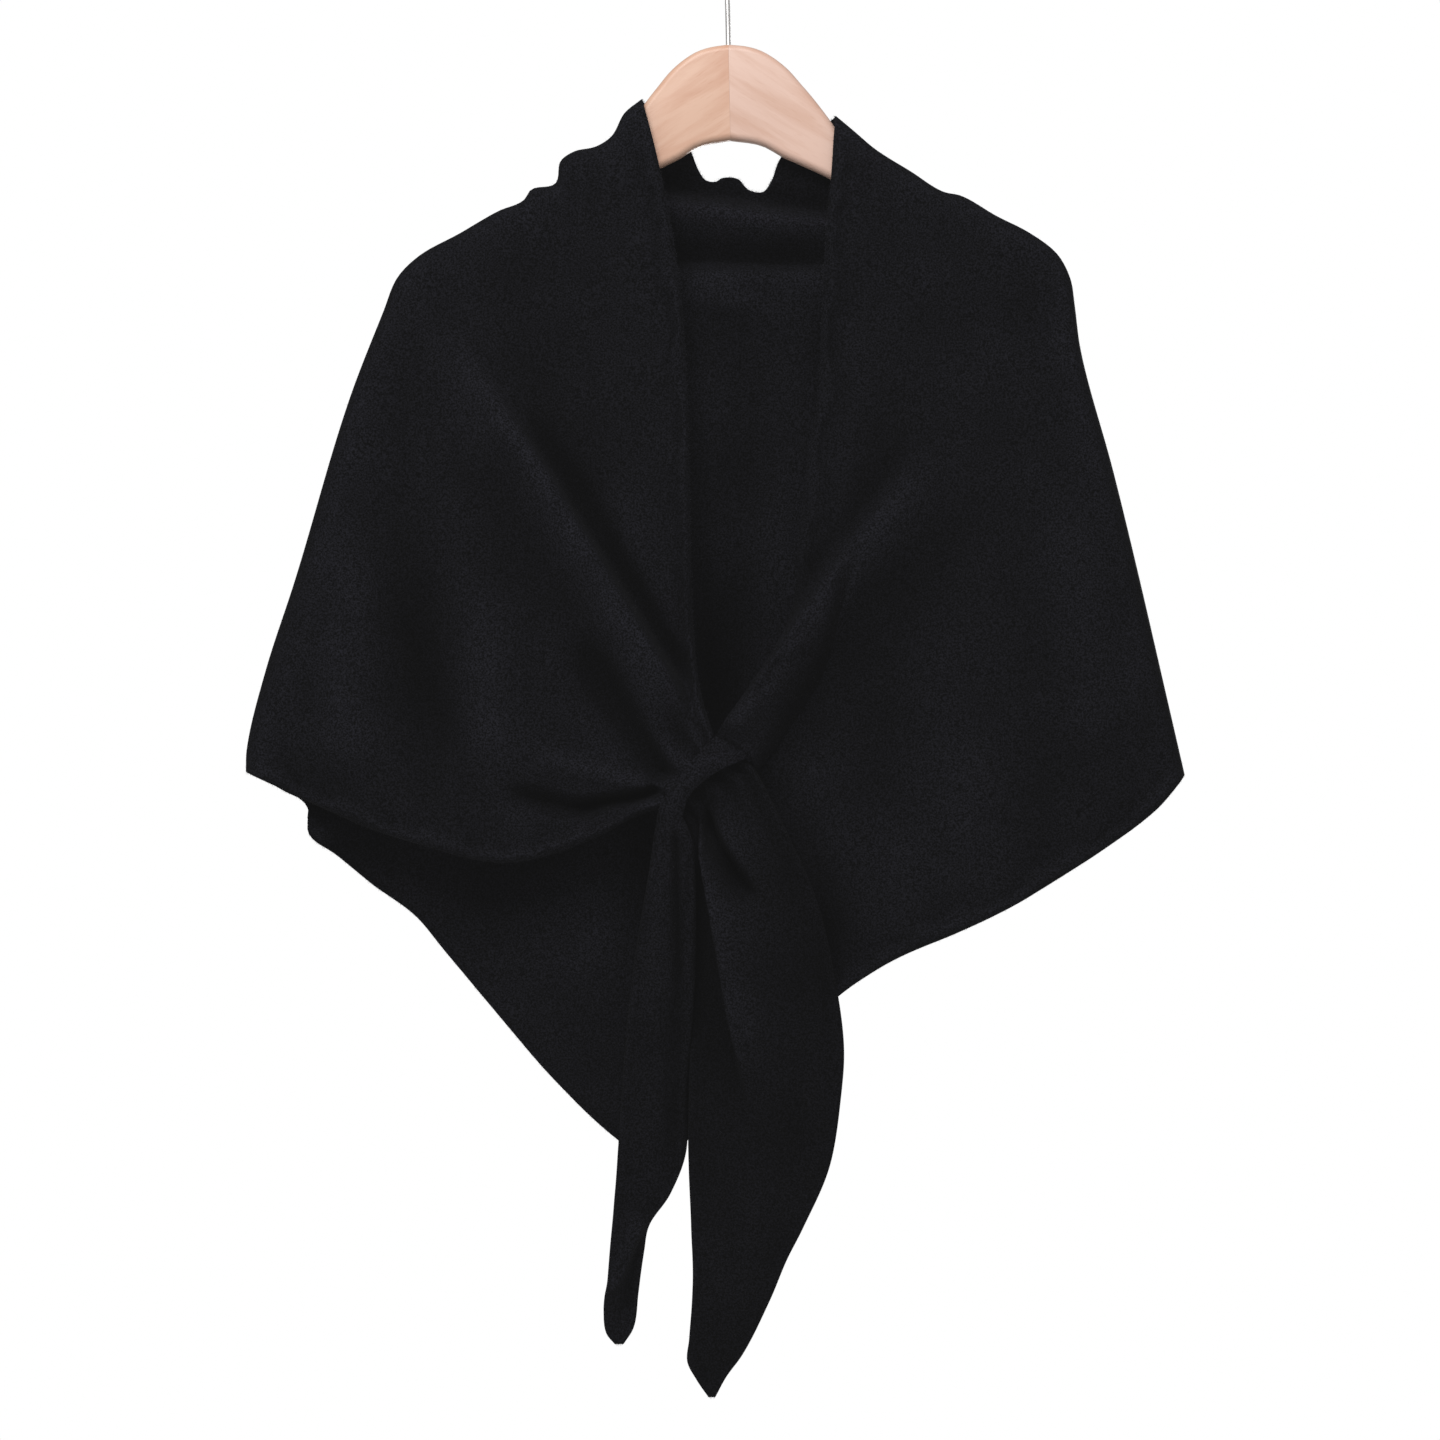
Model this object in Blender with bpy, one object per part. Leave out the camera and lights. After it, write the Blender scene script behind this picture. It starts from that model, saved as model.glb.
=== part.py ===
"""Triangle scarf drawn through its own slit, hanging on a wooden hanger with a wire hook.

Metres, +Z up, front towards -Y. The origin is the inside top of the hook's crown, where a rail carries it.
"""

import math
from typing import NamedTuple

import bmesh
import bpy
import numpy as np
from mathutils import Vector

MM = 0.001

# Hanger
HANGER_TILT = math.radians(1.2)
BAR_THICKNESS = 12 * MM
BAR_EDGE_ROUND = 4.5 * MM
BAR_TOP_POINTS = 22
BAR_FOOT_POINTS = 16
CENTRE_JOINT_GAP = 0.3 * MM

# Hook, a bent wire: its heights are those of its middle line
WIRE_RADIUS = 1.7 * MM
WIRE_CLEARANCE = 0.3 * MM
WIRE_POINTS = 52
HOOK_INNER_RADIUS = 18 * MM
RING_START_DEGREES = -50
RING_END_DEGREES = 200
RING_STEP_DEGREES = 10
STEM_FOOT_Z = -104 * MM
STEM_ENTRY_Z = -76 * MM
STEM_TOP_Z = -48 * MM
BEND_X = 2 * MM
BEND_Z = -41.5 * MM
BORE_FOOT_Z = -106 * MM
BORE_CUTTER_TOP_Z = -60 * MM
BORE_SIDES = 16

# Cloth wall, and the gaps where two stretches of it meet
WALL = 2.4 * MM
HALF_WALL = WALL / 2
SEAM_GAP = 1.3 * MM
SIDE_SEAM_GAP = 0.3 * MM
SHARP_ANGLE = math.radians(60)

# At each side the cloth turns in over this share of the columns, and folds fade over this width
SIDE_ROLL_SHARE = 0.2
SIDE_CROWDING = 1.15
SIDE_CALM = 25 * MM

# A front never sinks nearer than this to the hanger's middle plane, and eases towards it over this depth
LEAST_DEPTH = 9 * MM
LEAST_DEPTH_EASE = 6 * MM

# Gathers at the knot, and how far they reach as a share of the cloth's length
GATHER_COUNT = 4.5
GATHER_HEIGHT = 2.6 * MM
GATHER_REACH = 0.3

# Band: how much of the right front's knot edge it springs from, its fullness, and how soon it leaves
BAND_SHARE = 0.085
BAND_CROWN = 2.5 * MM
BAND_BLEND = 0.3

# Tails: how full they are, and the shares of their length over which head, pleats and crown come in
TAIL_RIGHT_BELLY = 6 * MM
TAIL_LEFT_BELLY = 4 * MM
TAIL_HEAD = 0.06
TAIL_CROWN_START = 0.08
PLEAT_HEAD = 0.05
PLEAT_FADE = 0.12

# Ways the cloth runs where it leaves the knot, as unit vectors
KNOT_FLOW = np.array([0.82, 0, -0.57])
BAND_FLOW = np.array([-0.55, 0, -0.83])


class Grid(NamedTuple):
    """How many cells a panel's mesh has across and down."""

    columns: int
    rows: int


FRONT_GRID = Grid(20, 28)
BACK_GRID = Grid(26, 28)
BAND_GRID = Grid(6, 8)
TAIL_RIGHT_GRID = Grid(14, 24)
TAIL_LEFT_GRID = Grid(8, 26)


class Rows(NamedTuple):
    """How the rows of the grid crowd towards the neck edge, so that one row follows the main ridge."""

    at_knot: float
    at_side: float

    def fraction(self, v, s):
        """The share of the cloth's length at row v, at the share s of the way from the knot to the side."""
        return v ** (self.at_knot + (self.at_side - self.at_knot) * s)


LEFT_ROWS = Rows(2.0, 1.32)
RIGHT_ROWS = Rows(3.6, 1.21)
BACK_ROWS = Rows(LEFT_ROWS.at_side, RIGHT_ROWS.at_side)


class Edge(NamedTuple):
    """A point of a cloth edge in millimetres: across, up, and depth (front is negative)."""

    x: float
    z: float
    y: float


class Fold(NamedTuple):
    """A straight ridge on a panel in millimetres seen from the front, or a trough if its height is negative.

    It runs from one place to another, with a flank on the left of that way and one on its right. The flanks
    are narrower at its start by the factor taper, and the height fades over the shares soft_start and
    soft_end of its length.
    """

    from_x: float
    from_z: float
    to_x: float
    to_z: float
    left_flank: float
    right_flank: float
    height: float
    taper: float = 1.0
    soft_start: float = 0.3
    soft_end: float = 0.3

    def rise(self, x, z):
        """The height at a place, in millimetres."""
        way_x, way_z = self.to_x - self.from_x, self.to_z - self.from_z
        length = math.hypot(way_x, way_z)
        along = ((x - self.from_x) * way_x + (z - self.from_z) * way_z) / length**2
        leftward = ((z - self.from_z) * way_x - (x - self.from_x) * way_z) / length
        widening = self.taper + (1 - self.taper) * min(1.0, max(0.0, along))
        flank = (self.left_flank if leftward > 0 else self.right_flank) * widening
        ends = ease(along / self.soft_start) * ease((1 - along) / self.soft_end)
        return self.height * ends * math.exp(-((leftward / flank) ** 2))


class Pleat(NamedTuple):
    """A fold that runs down a tail: fractions across it at its head and foot, and along it."""

    head: float
    foot: float
    half_width: float
    height: float
    start: float
    end: float


class Bar(NamedTuple):
    """A point of the hanger arm's outline in millimetres from the middle: out, and up."""

    out: float
    z: float


BAR_TOP = (
    Bar(0, -78),
    Bar(13.4, -79.8),
    Bar(23.5, -83.4),
    Bar(38.3, -94.2),
    Bar(48.4, -105.8),
    Bar(55.8, -114.8),
    Bar(65.9, -128.4),
    Bar(74, -140.2),
    Bar(82, -149.3),
    Bar(94, -158),
    Bar(107.5, -166),
    Bar(134.4, -181.0),
    Bar(156, -192.8),
    Bar(188, -211),
    Bar(203, -220.5),
    Bar(210, -228),
)
BAR_FOOT = (
    Bar(0, -142.2),
    Bar(20.8, -145.9),
    Bar(35.6, -154.3),
    Bar(47, -159.6),
    Bar(62.5, -167.2),
    Bar(94, -186),
    Bar(134, -208),
    Bar(188, -234),
    Bar(203, -240),
    Bar(209, -237),
)

LEFT_SIDE = (
    Edge(-56.4, -115, -9),
    Edge(-67.9, -124.4, -9),
    Edge(-76.6, -139.8, -9),
    Edge(-86.7, -146.5, -9),
    Edge(-101.5, -149.9, -9.5),
    Edge(-110.9, -156.6, -9.5),
    Edge(-114.2, -171.4, -9.5),
    Edge(-130.4, -175.4, -9.5),
    Edge(-135.7, -182.8, -9),
    Edge(-151.9, -189.6, -9),
    Edge(-178.8, -205, -9),
    Edge(-205.6, -219.8, -9),
    Edge(-220.4, -234.6, -10),
    Edge(-229.8, -257.4, -11),
    Edge(-252.7, -316.6, -13),
    Edge(-289, -437.5, -15),
    Edge(-309, -499.3, -15),
    Edge(-321.5, -551.8, -13),
    Edge(-322, -566, -12),
)
RIGHT_SIDE = (
    Edge(73.4, -126.2, -9),
    Edge(84.7, -135.6, -9),
    Edge(100.1, -148.6, -9),
    Edge(123.6, -163.3, -9),
    Edge(145.2, -176.8, -9),
    Edge(157.2, -179.5, -9),
    Edge(180.8, -192.9, -9),
    Edge(204.3, -205, -9),
    Edge(222.4, -219.1, -9),
    Edge(231.2, -235.9, -10),
    Edge(233.9, -252.7, -11),
    Edge(237.9, -283, -12),
    Edge(259.5, -363.6, -14),
    Edge(273.5, -420.7, -15),
    Edge(294.5, -511.4, -15),
    Edge(307.5, -568, -12),
)

LEFT_NECK = (
    Edge(-8, -544.3, -34),
    Edge(-17.3, -513, -27),
    Edge(-22.3, -465, -20),
    Edge(-24, -411.6, -17),
    Edge(-25.4, -331.3, -14),
    Edge(-29.4, -257.6, -12),
    Edge(-34.8, -214, -11),
    Edge(-41.5, -177.1, -10),
    Edge(-47.5, -150.2, -9.5),
    Edge(-56.4, -115, -9),
)
RIGHT_NECK = (
    Edge(-6.7, -542.2, -40),
    Edge(15.9, -511.7, -24),
    Edge(42.7, -464.9, -16),
    Edge(48.7, -411.4, -14),
    Edge(54.7, -358, -14),
    Edge(61.4, -317.9, -13),
    Edge(64.1, -264.3, -12),
    Edge(66.8, -210.7, -11),
    Edge(70.9, -163.7, -10),
    Edge(72.3, -140.1, -9.5),
    Edge(73.4, -126.2, -9),
)
LEFT_KNOT = (
    Edge(-8, -544.3, -34),
    Edge(-16, -556.5, -36.5),
    Edge(-27.5, -573.5, -36.5),
    Edge(-37, -588.5, -34),
)
RIGHT_KNOT = (
    Edge(-6.7, -542.2, -40),
    Edge(4.5, -547.4, -43),
    Edge(17.1, -556.7, -40),
    Edge(26.5, -564, -33),
    Edge(23.9, -579.4, -25),
    Edge(8, -588, -23),
    Edge(-12, -593, -23),
    Edge(-22.5, -602, -23),
    Edge(-25, -625, -22.5),
    Edge(-25, -691.3, -22),
    Edge(-25, -757.8, -22),
    Edge(-24, -817.9, -20),
)
LEFT_HEM = (
    Edge(-37, -588.5, -34),
    Edge(-57, -593.8, -30),
    Edge(-83.6, -607.9, -28),
    Edge(-113.6, -619.9, -26),
    Edge(-143.4, -625.9, -26),
    Edge(-170.2, -623.3, -24),
    Edge(-196.9, -616.1, -22),
    Edge(-237.2, -603.5, -19),
    Edge(-272.4, -588.3, -15),
    Edge(-295.3, -577.8, -13),
    Edge(-322, -566, -12),
)
RIGHT_HEM = (
    Edge(-24, -817.9, -20),
    Edge(-4, -794.6, -20),
    Edge(22.6, -765.9, -20),
    Edge(49.2, -738, -20),
    Edge(74, -715.5, -21),
    Edge(110.5, -691.5, -22),
    Edge(157.5, -671, -23),
    Edge(191.5, -654.5, -22),
    Edge(218.5, -638.5, -21),
    Edge(252, -617, -18),
    Edge(286, -592, -14),
    Edge(307.5, -568, -12),
)
BACK_NECK = (
    Edge(-56.4, -115, 9),
    Edge(-41, -126, 11),
    Edge(-25, -144.5, 14),
    Edge(-18.4, -159.5, 15),
    Edge(-14, -167, 15),
    Edge(-6.9, -168.6, 14),
    Edge(-2.7, -163.5, 13),
    Edge(8.1, -163.8, 14),
    Edge(15.5, -172, 15),
    Edge(25.4, -173.3, 15),
    Edge(31, -166, 15),
    Edge(36.5, -152.4, 14),
    Edge(51, -138.5, 11),
    Edge(73.4, -126.2, 9),
)
BACK_HEM = (
    Edge(-322, -566, 12),
    Edge(-298, -580, 16),
    Edge(-285, -587, 19),
    Edge(-281.5, -593, 20),
    Edge(-281.5, -609, 20),
    Edge(-263, -624, 22),
    Edge(-239, -643.5, 22),
    Edge(-210, -664.5, 20),
    Edge(-190.5, -688, 20),
    Edge(-156, -729, 20),
    Edge(-115.5, -776, 20),
    Edge(-73, -816, 18),
    Edge(-44.7, -834, 18),
    Edge(-17.6, -805, 18),
    Edge(23.1, -762, 18),
    Edge(74, -704, 20),
    Edge(158.7, -652, 20),
    Edge(219.8, -620, 20),
    Edge(268, -594, 16),
    Edge(307.5, -568, 12),
)
BAND_UPPER = (
    Edge(-9.2, -542.6, -41),
    Edge(-23.7, -560.5, -45.5),
    Edge(-38.8, -580.2, -46),
    Edge(-44.1, -589.5, -45),
)
BAND_LOWER = (
    Edge(15.8, -557.6, -41),
    Edge(-5.2, -565.1, -45.5),
    Edge(-24.4, -581.5, -46),
    Edge(-29, -595.4, -45),
)
TAIL_RIGHT_INNER = (
    Edge(-36.4, -589.3, -34),
    Edge(-27.5, -598, -35),
    Edge(-22.5, -607, -38),
    Edge(-23, -626, -42),
    Edge(-24.4, -682.9, -46),
    Edge(-23.7, -755, -48),
    Edge(-24.6, -813.8, -50),
    Edge(-22.6, -864.7, -52),
    Edge(-21.4, -898.8, -52),
    Edge(-24, -938.6, -50),
    Edge(-25.2, -953, -50),
    Edge(-19.5, -964, -50),
    Edge(-11.5, -976, -50),
)
TAIL_RIGHT_OUTER = (
    Edge(-7.4, -545.1, -34),
    Edge(9.7, -555, -33.5),
    Edge(18.1, -563.7, -33),
    Edge(30.3, -586, -33),
    Edge(42.2, -610.9, -34),
    Edge(59.5, -650.4, -38),
    Edge(73, -709.5, -42),
    Edge(77.4, -748.6, -46),
    Edge(75, -781.3, -48),
    Edge(67.5, -825, -50),
    Edge(50, -864.7, -52),
    Edge(39.4, -885.7, -52),
    Edge(29, -910.6, -52),
    Edge(10.5, -947.7, -50),
    Edge(-0.5, -963, -50),
    Edge(-7.2, -976, -50),
)
TAIL_LEFT_OUTER = (
    Edge(-43, -584.5, -41),
    Edge(-46.4, -603, -42),
    Edge(-50.2, -630.4, -42),
    Edge(-57.5, -673.4, -40),
    Edge(-63.4, -716.4, -38),
    Edge(-67.5, -762.9, -36),
    Edge(-70.5, -806.1, -34),
    Edge(-74.2, -857, -34),
    Edge(-79.3, -905.9, -34),
    Edge(-80.8, -921.8, -34),
    Edge(-79, -937, -34),
    Edge(-73.5, -944.5, -33),
)
TAIL_LEFT_INNER = (
    Edge(-33, -592, -42),
    Edge(-31.5, -602, -40),
    Edge(-29, -614, -33),
    Edge(-27.3, -632, -25.5),
    Edge(-26.8, -652, -23.5),
    Edge(-26.8, -717, -23),
    Edge(-26.8, -784, -23),
    Edge(-26.8, -818, -25),
    Edge(-37.5, -846, -28),
    Edge(-51.5, -867, -29),
    Edge(-54.6, -884, -29),
    Edge(-58.4, -911, -30),
    Edge(-61.6, -934, -31),
    Edge(-68, -944.5, -32),
)

LEFT_FOLDS = (
    Fold(-12, -540, -172, -332, 24, 9, 15, 0.45, 0.06, 0.35),
    Fold(-140, -375, -196, -240, 24, 16, 7, 1, 0.3, 0.5),
    Fold(-2, -520, -140, -330, 12, 12, -4, 0.5, 0.1, 0.4),
    Fold(-45, -548, -180, -395, 16, 16, -4, 0.5, 0.2, 0.4),
    Fold(-44, -577, -148, -552, 11, 12, 5.5, 0.5, 0.12, 0.45),
    Fold(-58, -590, -140, -578, 9, 10, -3.5, 0.7, 0.25, 0.4),
    Fold(-212, -425, -184, -590, 20, 20, -8, 1, 0.4, 0.2),
    Fold(-236, -380, -262, -580, 24, 22, 5, 1, 0.4, 0.2),
    Fold(-172, -410, -148, -600, 20, 22, 5, 1, 0.4, 0.2),
)
RIGHT_FOLDS = (
    Fold(-2, -542, 152, -333, 13, 15, 16, 0.7, 0.05, 0.4),
    Fold(24, -556, 168, -352, 12, 15, -6, 0.7, 0.1, 0.4),
    Fold(150, -335, 205, -262, 18, 18, 5, 1, 0.4, 0.5),
    Fold(120, -455, 84, -600, 24, 24, -5, 1, 0.3, 0.3),
    Fold(214, -345, 256, -560, 26, 24, 5, 1, 0.4, 0.2),
    Fold(165, -520, 150, -660, 24, 24, 4, 1, 0.4, 0.2),
)
BACK_FOLDS = (
    Fold(-178, -235, -118, -700, 26, 26, 6, 0.8),
    Fold(-108, -225, -72, -770, 22, 22, -5, 0.8),
    Fold(22, -255, -32, -800, 24, 24, 6, 0.8),
    Fold(112, -235, 42, -730, 24, 24, -5, 0.8),
    Fold(178, -235, 132, -650, 26, 26, 6, 0.8),
)
TAIL_RIGHT_PLEATS = (
    Pleat(0.06, 0.10, 0.10, 4, 0, 0.3),
    Pleat(0.20, 0.48, 0.09, -7, 0, 0.24),
    Pleat(0.45, 0.75, 0.16, 5, 0, 0.9),
    Pleat(0.10, 0.42, 0.10, -5, 0.12, 0.7),
    Pleat(0.93, 0.93, 0.06, -4, 0.2, 0.9),
)
TAIL_LEFT_PLEATS = (
    Pleat(0.30, 0.30, 0.14, 4, 0, 0.8),
    Pleat(0.55, 0.60, 0.12, -4, 0.05, 0.8),
    Pleat(0.80, 0.75, 0.12, 3, 0.1, 1),
)


class NeckRoll(NamedTuple):
    """A roll of cloth across the inside of the back neck: its crest, its flanks and its height."""

    crest_z: float
    above: float
    below: float
    height: float


NECK_ROLLS = (
    NeckRoll(-192, 15, 17, 12),
    NeckRoll(-219, 9, 6, -4),
    NeckRoll(-232, 6, 24, 8),
)
NECK_ROLL_MIDDLE = 9
NECK_ROLL_HALF_LENGTH = 75


class Rail:
    """A smooth curve through rows of points, read by the fraction of its length."""

    steps = 10

    def __init__(self, rows, inset=0.0):
        points = np.array([(row.x, row.y, row.z) for row in rows]) * MM
        chords = np.linalg.norm(np.diff(points, axis=0), axis=1)
        slopes = np.diff(points, axis=0) / chords[:, None]
        tangents = np.vstack([slopes[:1], (slopes[1:] + slopes[:-1]) / 2, slopes[-1:]])
        dense = []
        for i, chord in enumerate(chords):
            for f in np.arange(self.steps) / self.steps:
                hermite = (1 - f) ** 2 * (1 + 2 * f) * points[i] + f**2 * (3 - 2 * f) * points[i + 1]
                hermite += chord * f * (1 - f) * ((1 - f) * tangents[i] - f * tangents[i + 1])
                dense.append(hermite)
        dense.append(points[-1])
        self.points = np.array(dense)
        if inset:
            self.points += inset * self.left_of_travel()
        lengths = np.linalg.norm(np.diff(self.points, axis=0), axis=1)
        self.fractions = np.concatenate([[0], np.cumsum(lengths)]) / lengths.sum()

    def left_of_travel(self):
        """Unit vectors to the left of the way along the curve, seen from the front."""
        ahead = np.gradient(self.points, axis=0)
        sideways = np.column_stack([-ahead[:, 2], np.zeros(len(ahead)), ahead[:, 0]])
        return sideways / np.linalg.norm(sideways, axis=1)[:, None]

    def at(self, fraction):
        return np.array([np.interp(fraction, self.fractions, self.points[:, i]) for i in range(3)])


def coons(start, end, first, last, s, t):
    """The point at (s, t) of the patch between start and end, which run with t, and first and last."""
    ruled = (1 - s) * start.at(t) + s * end.at(t) + (1 - t) * first.at(s) + t * last.at(s)
    corners = (1 - t) * ((1 - s) * start.at(0) + s * end.at(0))
    corners += t * ((1 - s) * start.at(1) + s * end.at(1))
    return ruled - corners


def ease(value):
    """A smooth step from 0 at 0 to 1 at 1."""
    value = min(1.0, max(0.0, value))
    return (3 - 2 * value) * value**2


def bump(offset, before, after):
    """1 at the middle of a roll, falling to 0 over its two flanks."""
    return math.exp(-((offset / (before if offset < 0 else after)) ** 2))


def relief(folds, point):
    """How far the folds lift the cloth at a point, in metres."""
    return MM * sum(fold.rise(point[0] / MM, point[2] / MM) for fold in folds)


def gathers(t, away):
    """The small pleats that the knot draws in, dying out with away, a fraction of the cloth's length."""
    fade = max(0.0, 1 - away / GATHER_REACH) ** 1.5
    return GATHER_HEIGHT * fade * math.sin(2 * math.pi * GATHER_COUNT * t)


def side_roll(u, length, radius):
    """(distance in from the side, share of the full depth) at the fraction u of the columns from the side."""
    if u < SIDE_ROLL_SHARE:
        angle = u / SIDE_ROLL_SHARE * math.pi / 2
        return radius * (1 - math.cos(angle)), math.sin(angle)
    flat = (u - SIDE_ROLL_SHARE) / (1 - SIDE_ROLL_SHARE)
    return radius + (length - radius) * flat**SIDE_CROWDING, 1.0


def kept_out(depth, share):
    """The depth of a front, eased so that its valleys stay clear of the hanger's middle plane."""
    over = depth - LEAST_DEPTH * share
    return depth + (math.hypot(over, LEAST_DEPTH_EASE * share) - over) / 2


def front_panel(knot, side, neck, hem, folds, rows, gathered):
    """A function of (u, v) that places one front: u from the side to the knot, v from the neck to the hem."""

    def place(u, v):
        rim = side.at(rows.fraction(v, 1))
        length = float(np.linalg.norm(knot.at(rows.fraction(v, 0)) - rim))
        inward, share = side_roll(u, length, abs(rim[1]))
        s = 1 - inward / length
        t = rows.fraction(v, s)
        point = coons(knot, side, neck, hem, s, t)
        point[1] *= share
        calm = share * min(1.0, inward / SIDE_CALM)
        point[1] -= calm * relief(folds, point)
        if gathered:
            point[1] -= gathers(t, s)
        point[1] = -kept_out(-point[1], share)
        return point

    return place


def back_place(u, v):
    """Places the back panel: u from the left side to the right, v from the neck edge to the hem."""
    left = BACK_LEFT_RAIL.at(BACK_ROWS.fraction(v, 0))
    right = BACK_RIGHT_RAIL.at(BACK_ROWS.fraction(v, 1))
    length = float(np.linalg.norm(right - left))
    from_side = 2 * min(u, 1 - u)
    inward, share = side_roll(from_side, length / 2, left[1] if u < 0.5 else right[1])
    s = inward / length if u < 0.5 else 1 - inward / length
    t = BACK_ROWS.fraction(v, s)
    point = coons(BACK_LEFT_RAIL, BACK_RIGHT_RAIL, BACK_NECK_RAIL, BACK_HEM_RAIL, s, t)
    point[1] *= share
    calm = share * min(1.0, inward / SIDE_CALM)
    point[1] += calm * relief(BACK_FOLDS, point)
    across = (point[0] / MM - NECK_ROLL_MIDDLE) / NECK_ROLL_HALF_LENGTH
    for roll in NECK_ROLLS:
        rise = bump(roll.crest_z - point[2] / MM, roll.above, roll.below)
        point[1] -= roll.height * MM * rise * math.exp(-(across**4))
    return point


def tail(left, right, pleats, belly, gathered):
    """A function of (u, v) that places a tail: u from its left edge to its right one, v down it."""

    def place(u, v):
        point = (1 - u) * left.at(v) + u * right.at(v)
        crown = math.sin(math.pi * u) * math.sqrt(max(0.0, 1 - v))
        height = belly * crown * min(1.0, v / TAIL_CROWN_START)
        for pleat in pleats:
            middle = pleat.head + (pleat.foot - pleat.head) * v
            ends = ease((v - pleat.start) / PLEAT_FADE + 0.5) * ease((pleat.end - v) / PLEAT_FADE + 0.5)
            ends *= min(1.0, v / PLEAT_HEAD)
            height += pleat.height * MM * ends * bump(u - middle, pleat.half_width, pleat.half_width)
        point[1] -= height
        if gathered:
            knot_point = LEFT_KNOT_RAIL.at(1 - u) + SEAM_GAP * KNOT_FLOW
            blend = max(0.0, 1 - v / TAIL_HEAD)
            point = (1 - blend) * point + blend * knot_point
            point[1] -= gathers(1 - u, v)
        return point

    return place


def band_place(u, v):
    """Places the band: u from its upper edge to its lower one, v from the right front to the left tail."""
    point = (1 - u) * BAND_UPPER_RAIL.at(v) + u * BAND_LOWER_RAIL.at(v)
    point[1] -= BAND_CROWN * math.sin(math.pi * u) * min(1.0, v / BAND_BLEND)
    head = RIGHT_KNOT_RAIL.at(u * BAND_SHARE) + SEAM_GAP * BAND_FLOW
    blend = max(0.0, 1 - v / BAND_BLEND)
    return (1 - blend) * point + blend * head


def new_material(name, colour, roughness, metallic=0.0):
    """A plain finish."""
    material = bpy.data.materials.new(name)
    material.use_nodes = True
    shader = material.node_tree.nodes["Principled BSDF"]
    shader.inputs["Base Color"].default_value = (*colour, 1)
    shader.inputs["Roughness"].default_value = roughness
    shader.inputs["Metallic"].default_value = metallic
    return material


def new_object(name, data, material, parent):
    """An object of a mesh or a curve, in one finish, under its parent."""
    data.materials.append(material)
    body = bpy.data.objects.new(name, data)
    body.parent = parent
    bpy.context.scene.collection.objects.link(body)
    return body


def mesh_of(name, bm):
    """The finished mesh of a bmesh, which is freed."""
    mesh = bpy.data.meshes.new(name)
    bm.to_mesh(mesh)
    bm.free()
    return mesh


def cloth(name, place, grid, material, parent, side_of_hanger=0):
    """A wall of cloth: a grid laid over the unit square, placed by a function of it, and given its thickness.

    side_of_hanger is -1 for a panel that stays in front of the hanger's middle plane and 1 for one behind it.
    """
    bm = bmesh.new()
    bmesh.ops.create_grid(bm, x_segments=grid.columns, y_segments=grid.rows, size=0.5)
    for vertex in bm.verts:
        vertex.co = Vector(place(vertex.co.x + 0.5, vertex.co.y + 0.5))
    bm.normal_update()
    outward = bm.verts.layers.float_vector.new("outward")
    for vertex in bm.verts:
        vertex[outward] = vertex.normal * HALF_WALL
    copied = bmesh.ops.extrude_face_region(bm, geom=bm.faces[:], use_keep_orig=True)
    other_side = {item for item in copied["geom"] if isinstance(item, bmesh.types.BMVert)}
    for vertex in bm.verts:
        vertex.co += vertex[outward] * (-1 if vertex in other_side else 1)
        if side_of_hanger * vertex.co.y < SIDE_SEAM_GAP / 2 and side_of_hanger:
            vertex.co.y = side_of_hanger * SIDE_SEAM_GAP / 2
    bmesh.ops.recalc_face_normals(bm, faces=bm.faces)
    mesh = mesh_of(name, bm)
    mesh.shade_smooth()
    mesh.set_sharp_from_angle(angle=SHARP_ANGLE)
    new_object(name, mesh, material, parent)


def bar_outline():
    """The right arm's outline from the centre joint out along the top and back along the foot, as (x, z)."""
    top = Rail([Edge(point.out, point.z, 0) for point in BAR_TOP])
    foot = Rail([Edge(point.out, point.z, 0) for point in BAR_FOOT])
    upper = [top.at(f) for f in np.linspace(0, 1, BAR_TOP_POINTS)]
    lower = [foot.at(f) for f in np.linspace(1, 0, BAR_FOOT_POINTS)]
    return [(point[0], point[2]) for point in upper + lower]


def hanger_arm(name, side, cutter, material, parent):
    """One half of the hanger, side 1 right and -1 left, with half of the hook's bore in its end."""
    bm = bmesh.new()
    half = BAR_THICKNESS / 2
    corners = []
    for x, z in bar_outline():
        corners.append(bm.verts.new((side * max(x, CENTRE_JOINT_GAP / 2), -half, z)))
    face = bm.faces.new(corners)
    moved = bmesh.ops.extrude_face_region(bm, geom=[face])
    pushed = [item for item in moved["geom"] if isinstance(item, bmesh.types.BMVert)]
    bmesh.ops.translate(bm, verts=pushed, vec=(0, BAR_THICKNESS, 0))
    rim = [
        edge
        for edge in bm.edges
        if abs(edge.verts[0].co.y - edge.verts[1].co.y) < MM
        and max(abs(vertex.co.x) for vertex in edge.verts) > MM
    ]
    bmesh.ops.bevel(
        bm, geom=rim, offset=BAR_EDGE_ROUND, segments=3, profile=0.5, affect="EDGES", material=-1
    )
    bmesh.ops.recalc_face_normals(bm, faces=bm.faces)
    body = new_object(name, mesh_of(name, bm), material, parent)
    bore = body.modifiers.new("Hook bore", "BOOLEAN")
    bore.operation = "DIFFERENCE"
    bore.object = cutter


def bore_cutter(material, parent):
    """The round rod that cuts the hook's bore, half of it in each arm."""
    bm = bmesh.new()
    height = BORE_CUTTER_TOP_Z - BORE_FOOT_Z
    radius = WIRE_RADIUS + WIRE_CLEARANCE
    bmesh.ops.create_cone(
        bm, cap_ends=True, segments=BORE_SIDES, radius1=radius, radius2=radius, depth=height
    )
    bmesh.ops.translate(bm, verts=bm.verts, vec=(0, 0, BORE_FOOT_Z + height / 2))
    cutter = new_object("hook_bore_cutter", mesh_of("hook_bore_cutter", bm), material, parent)
    cutter.hide_render = True
    cutter.display_type = "WIRE"
    return cutter


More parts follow.
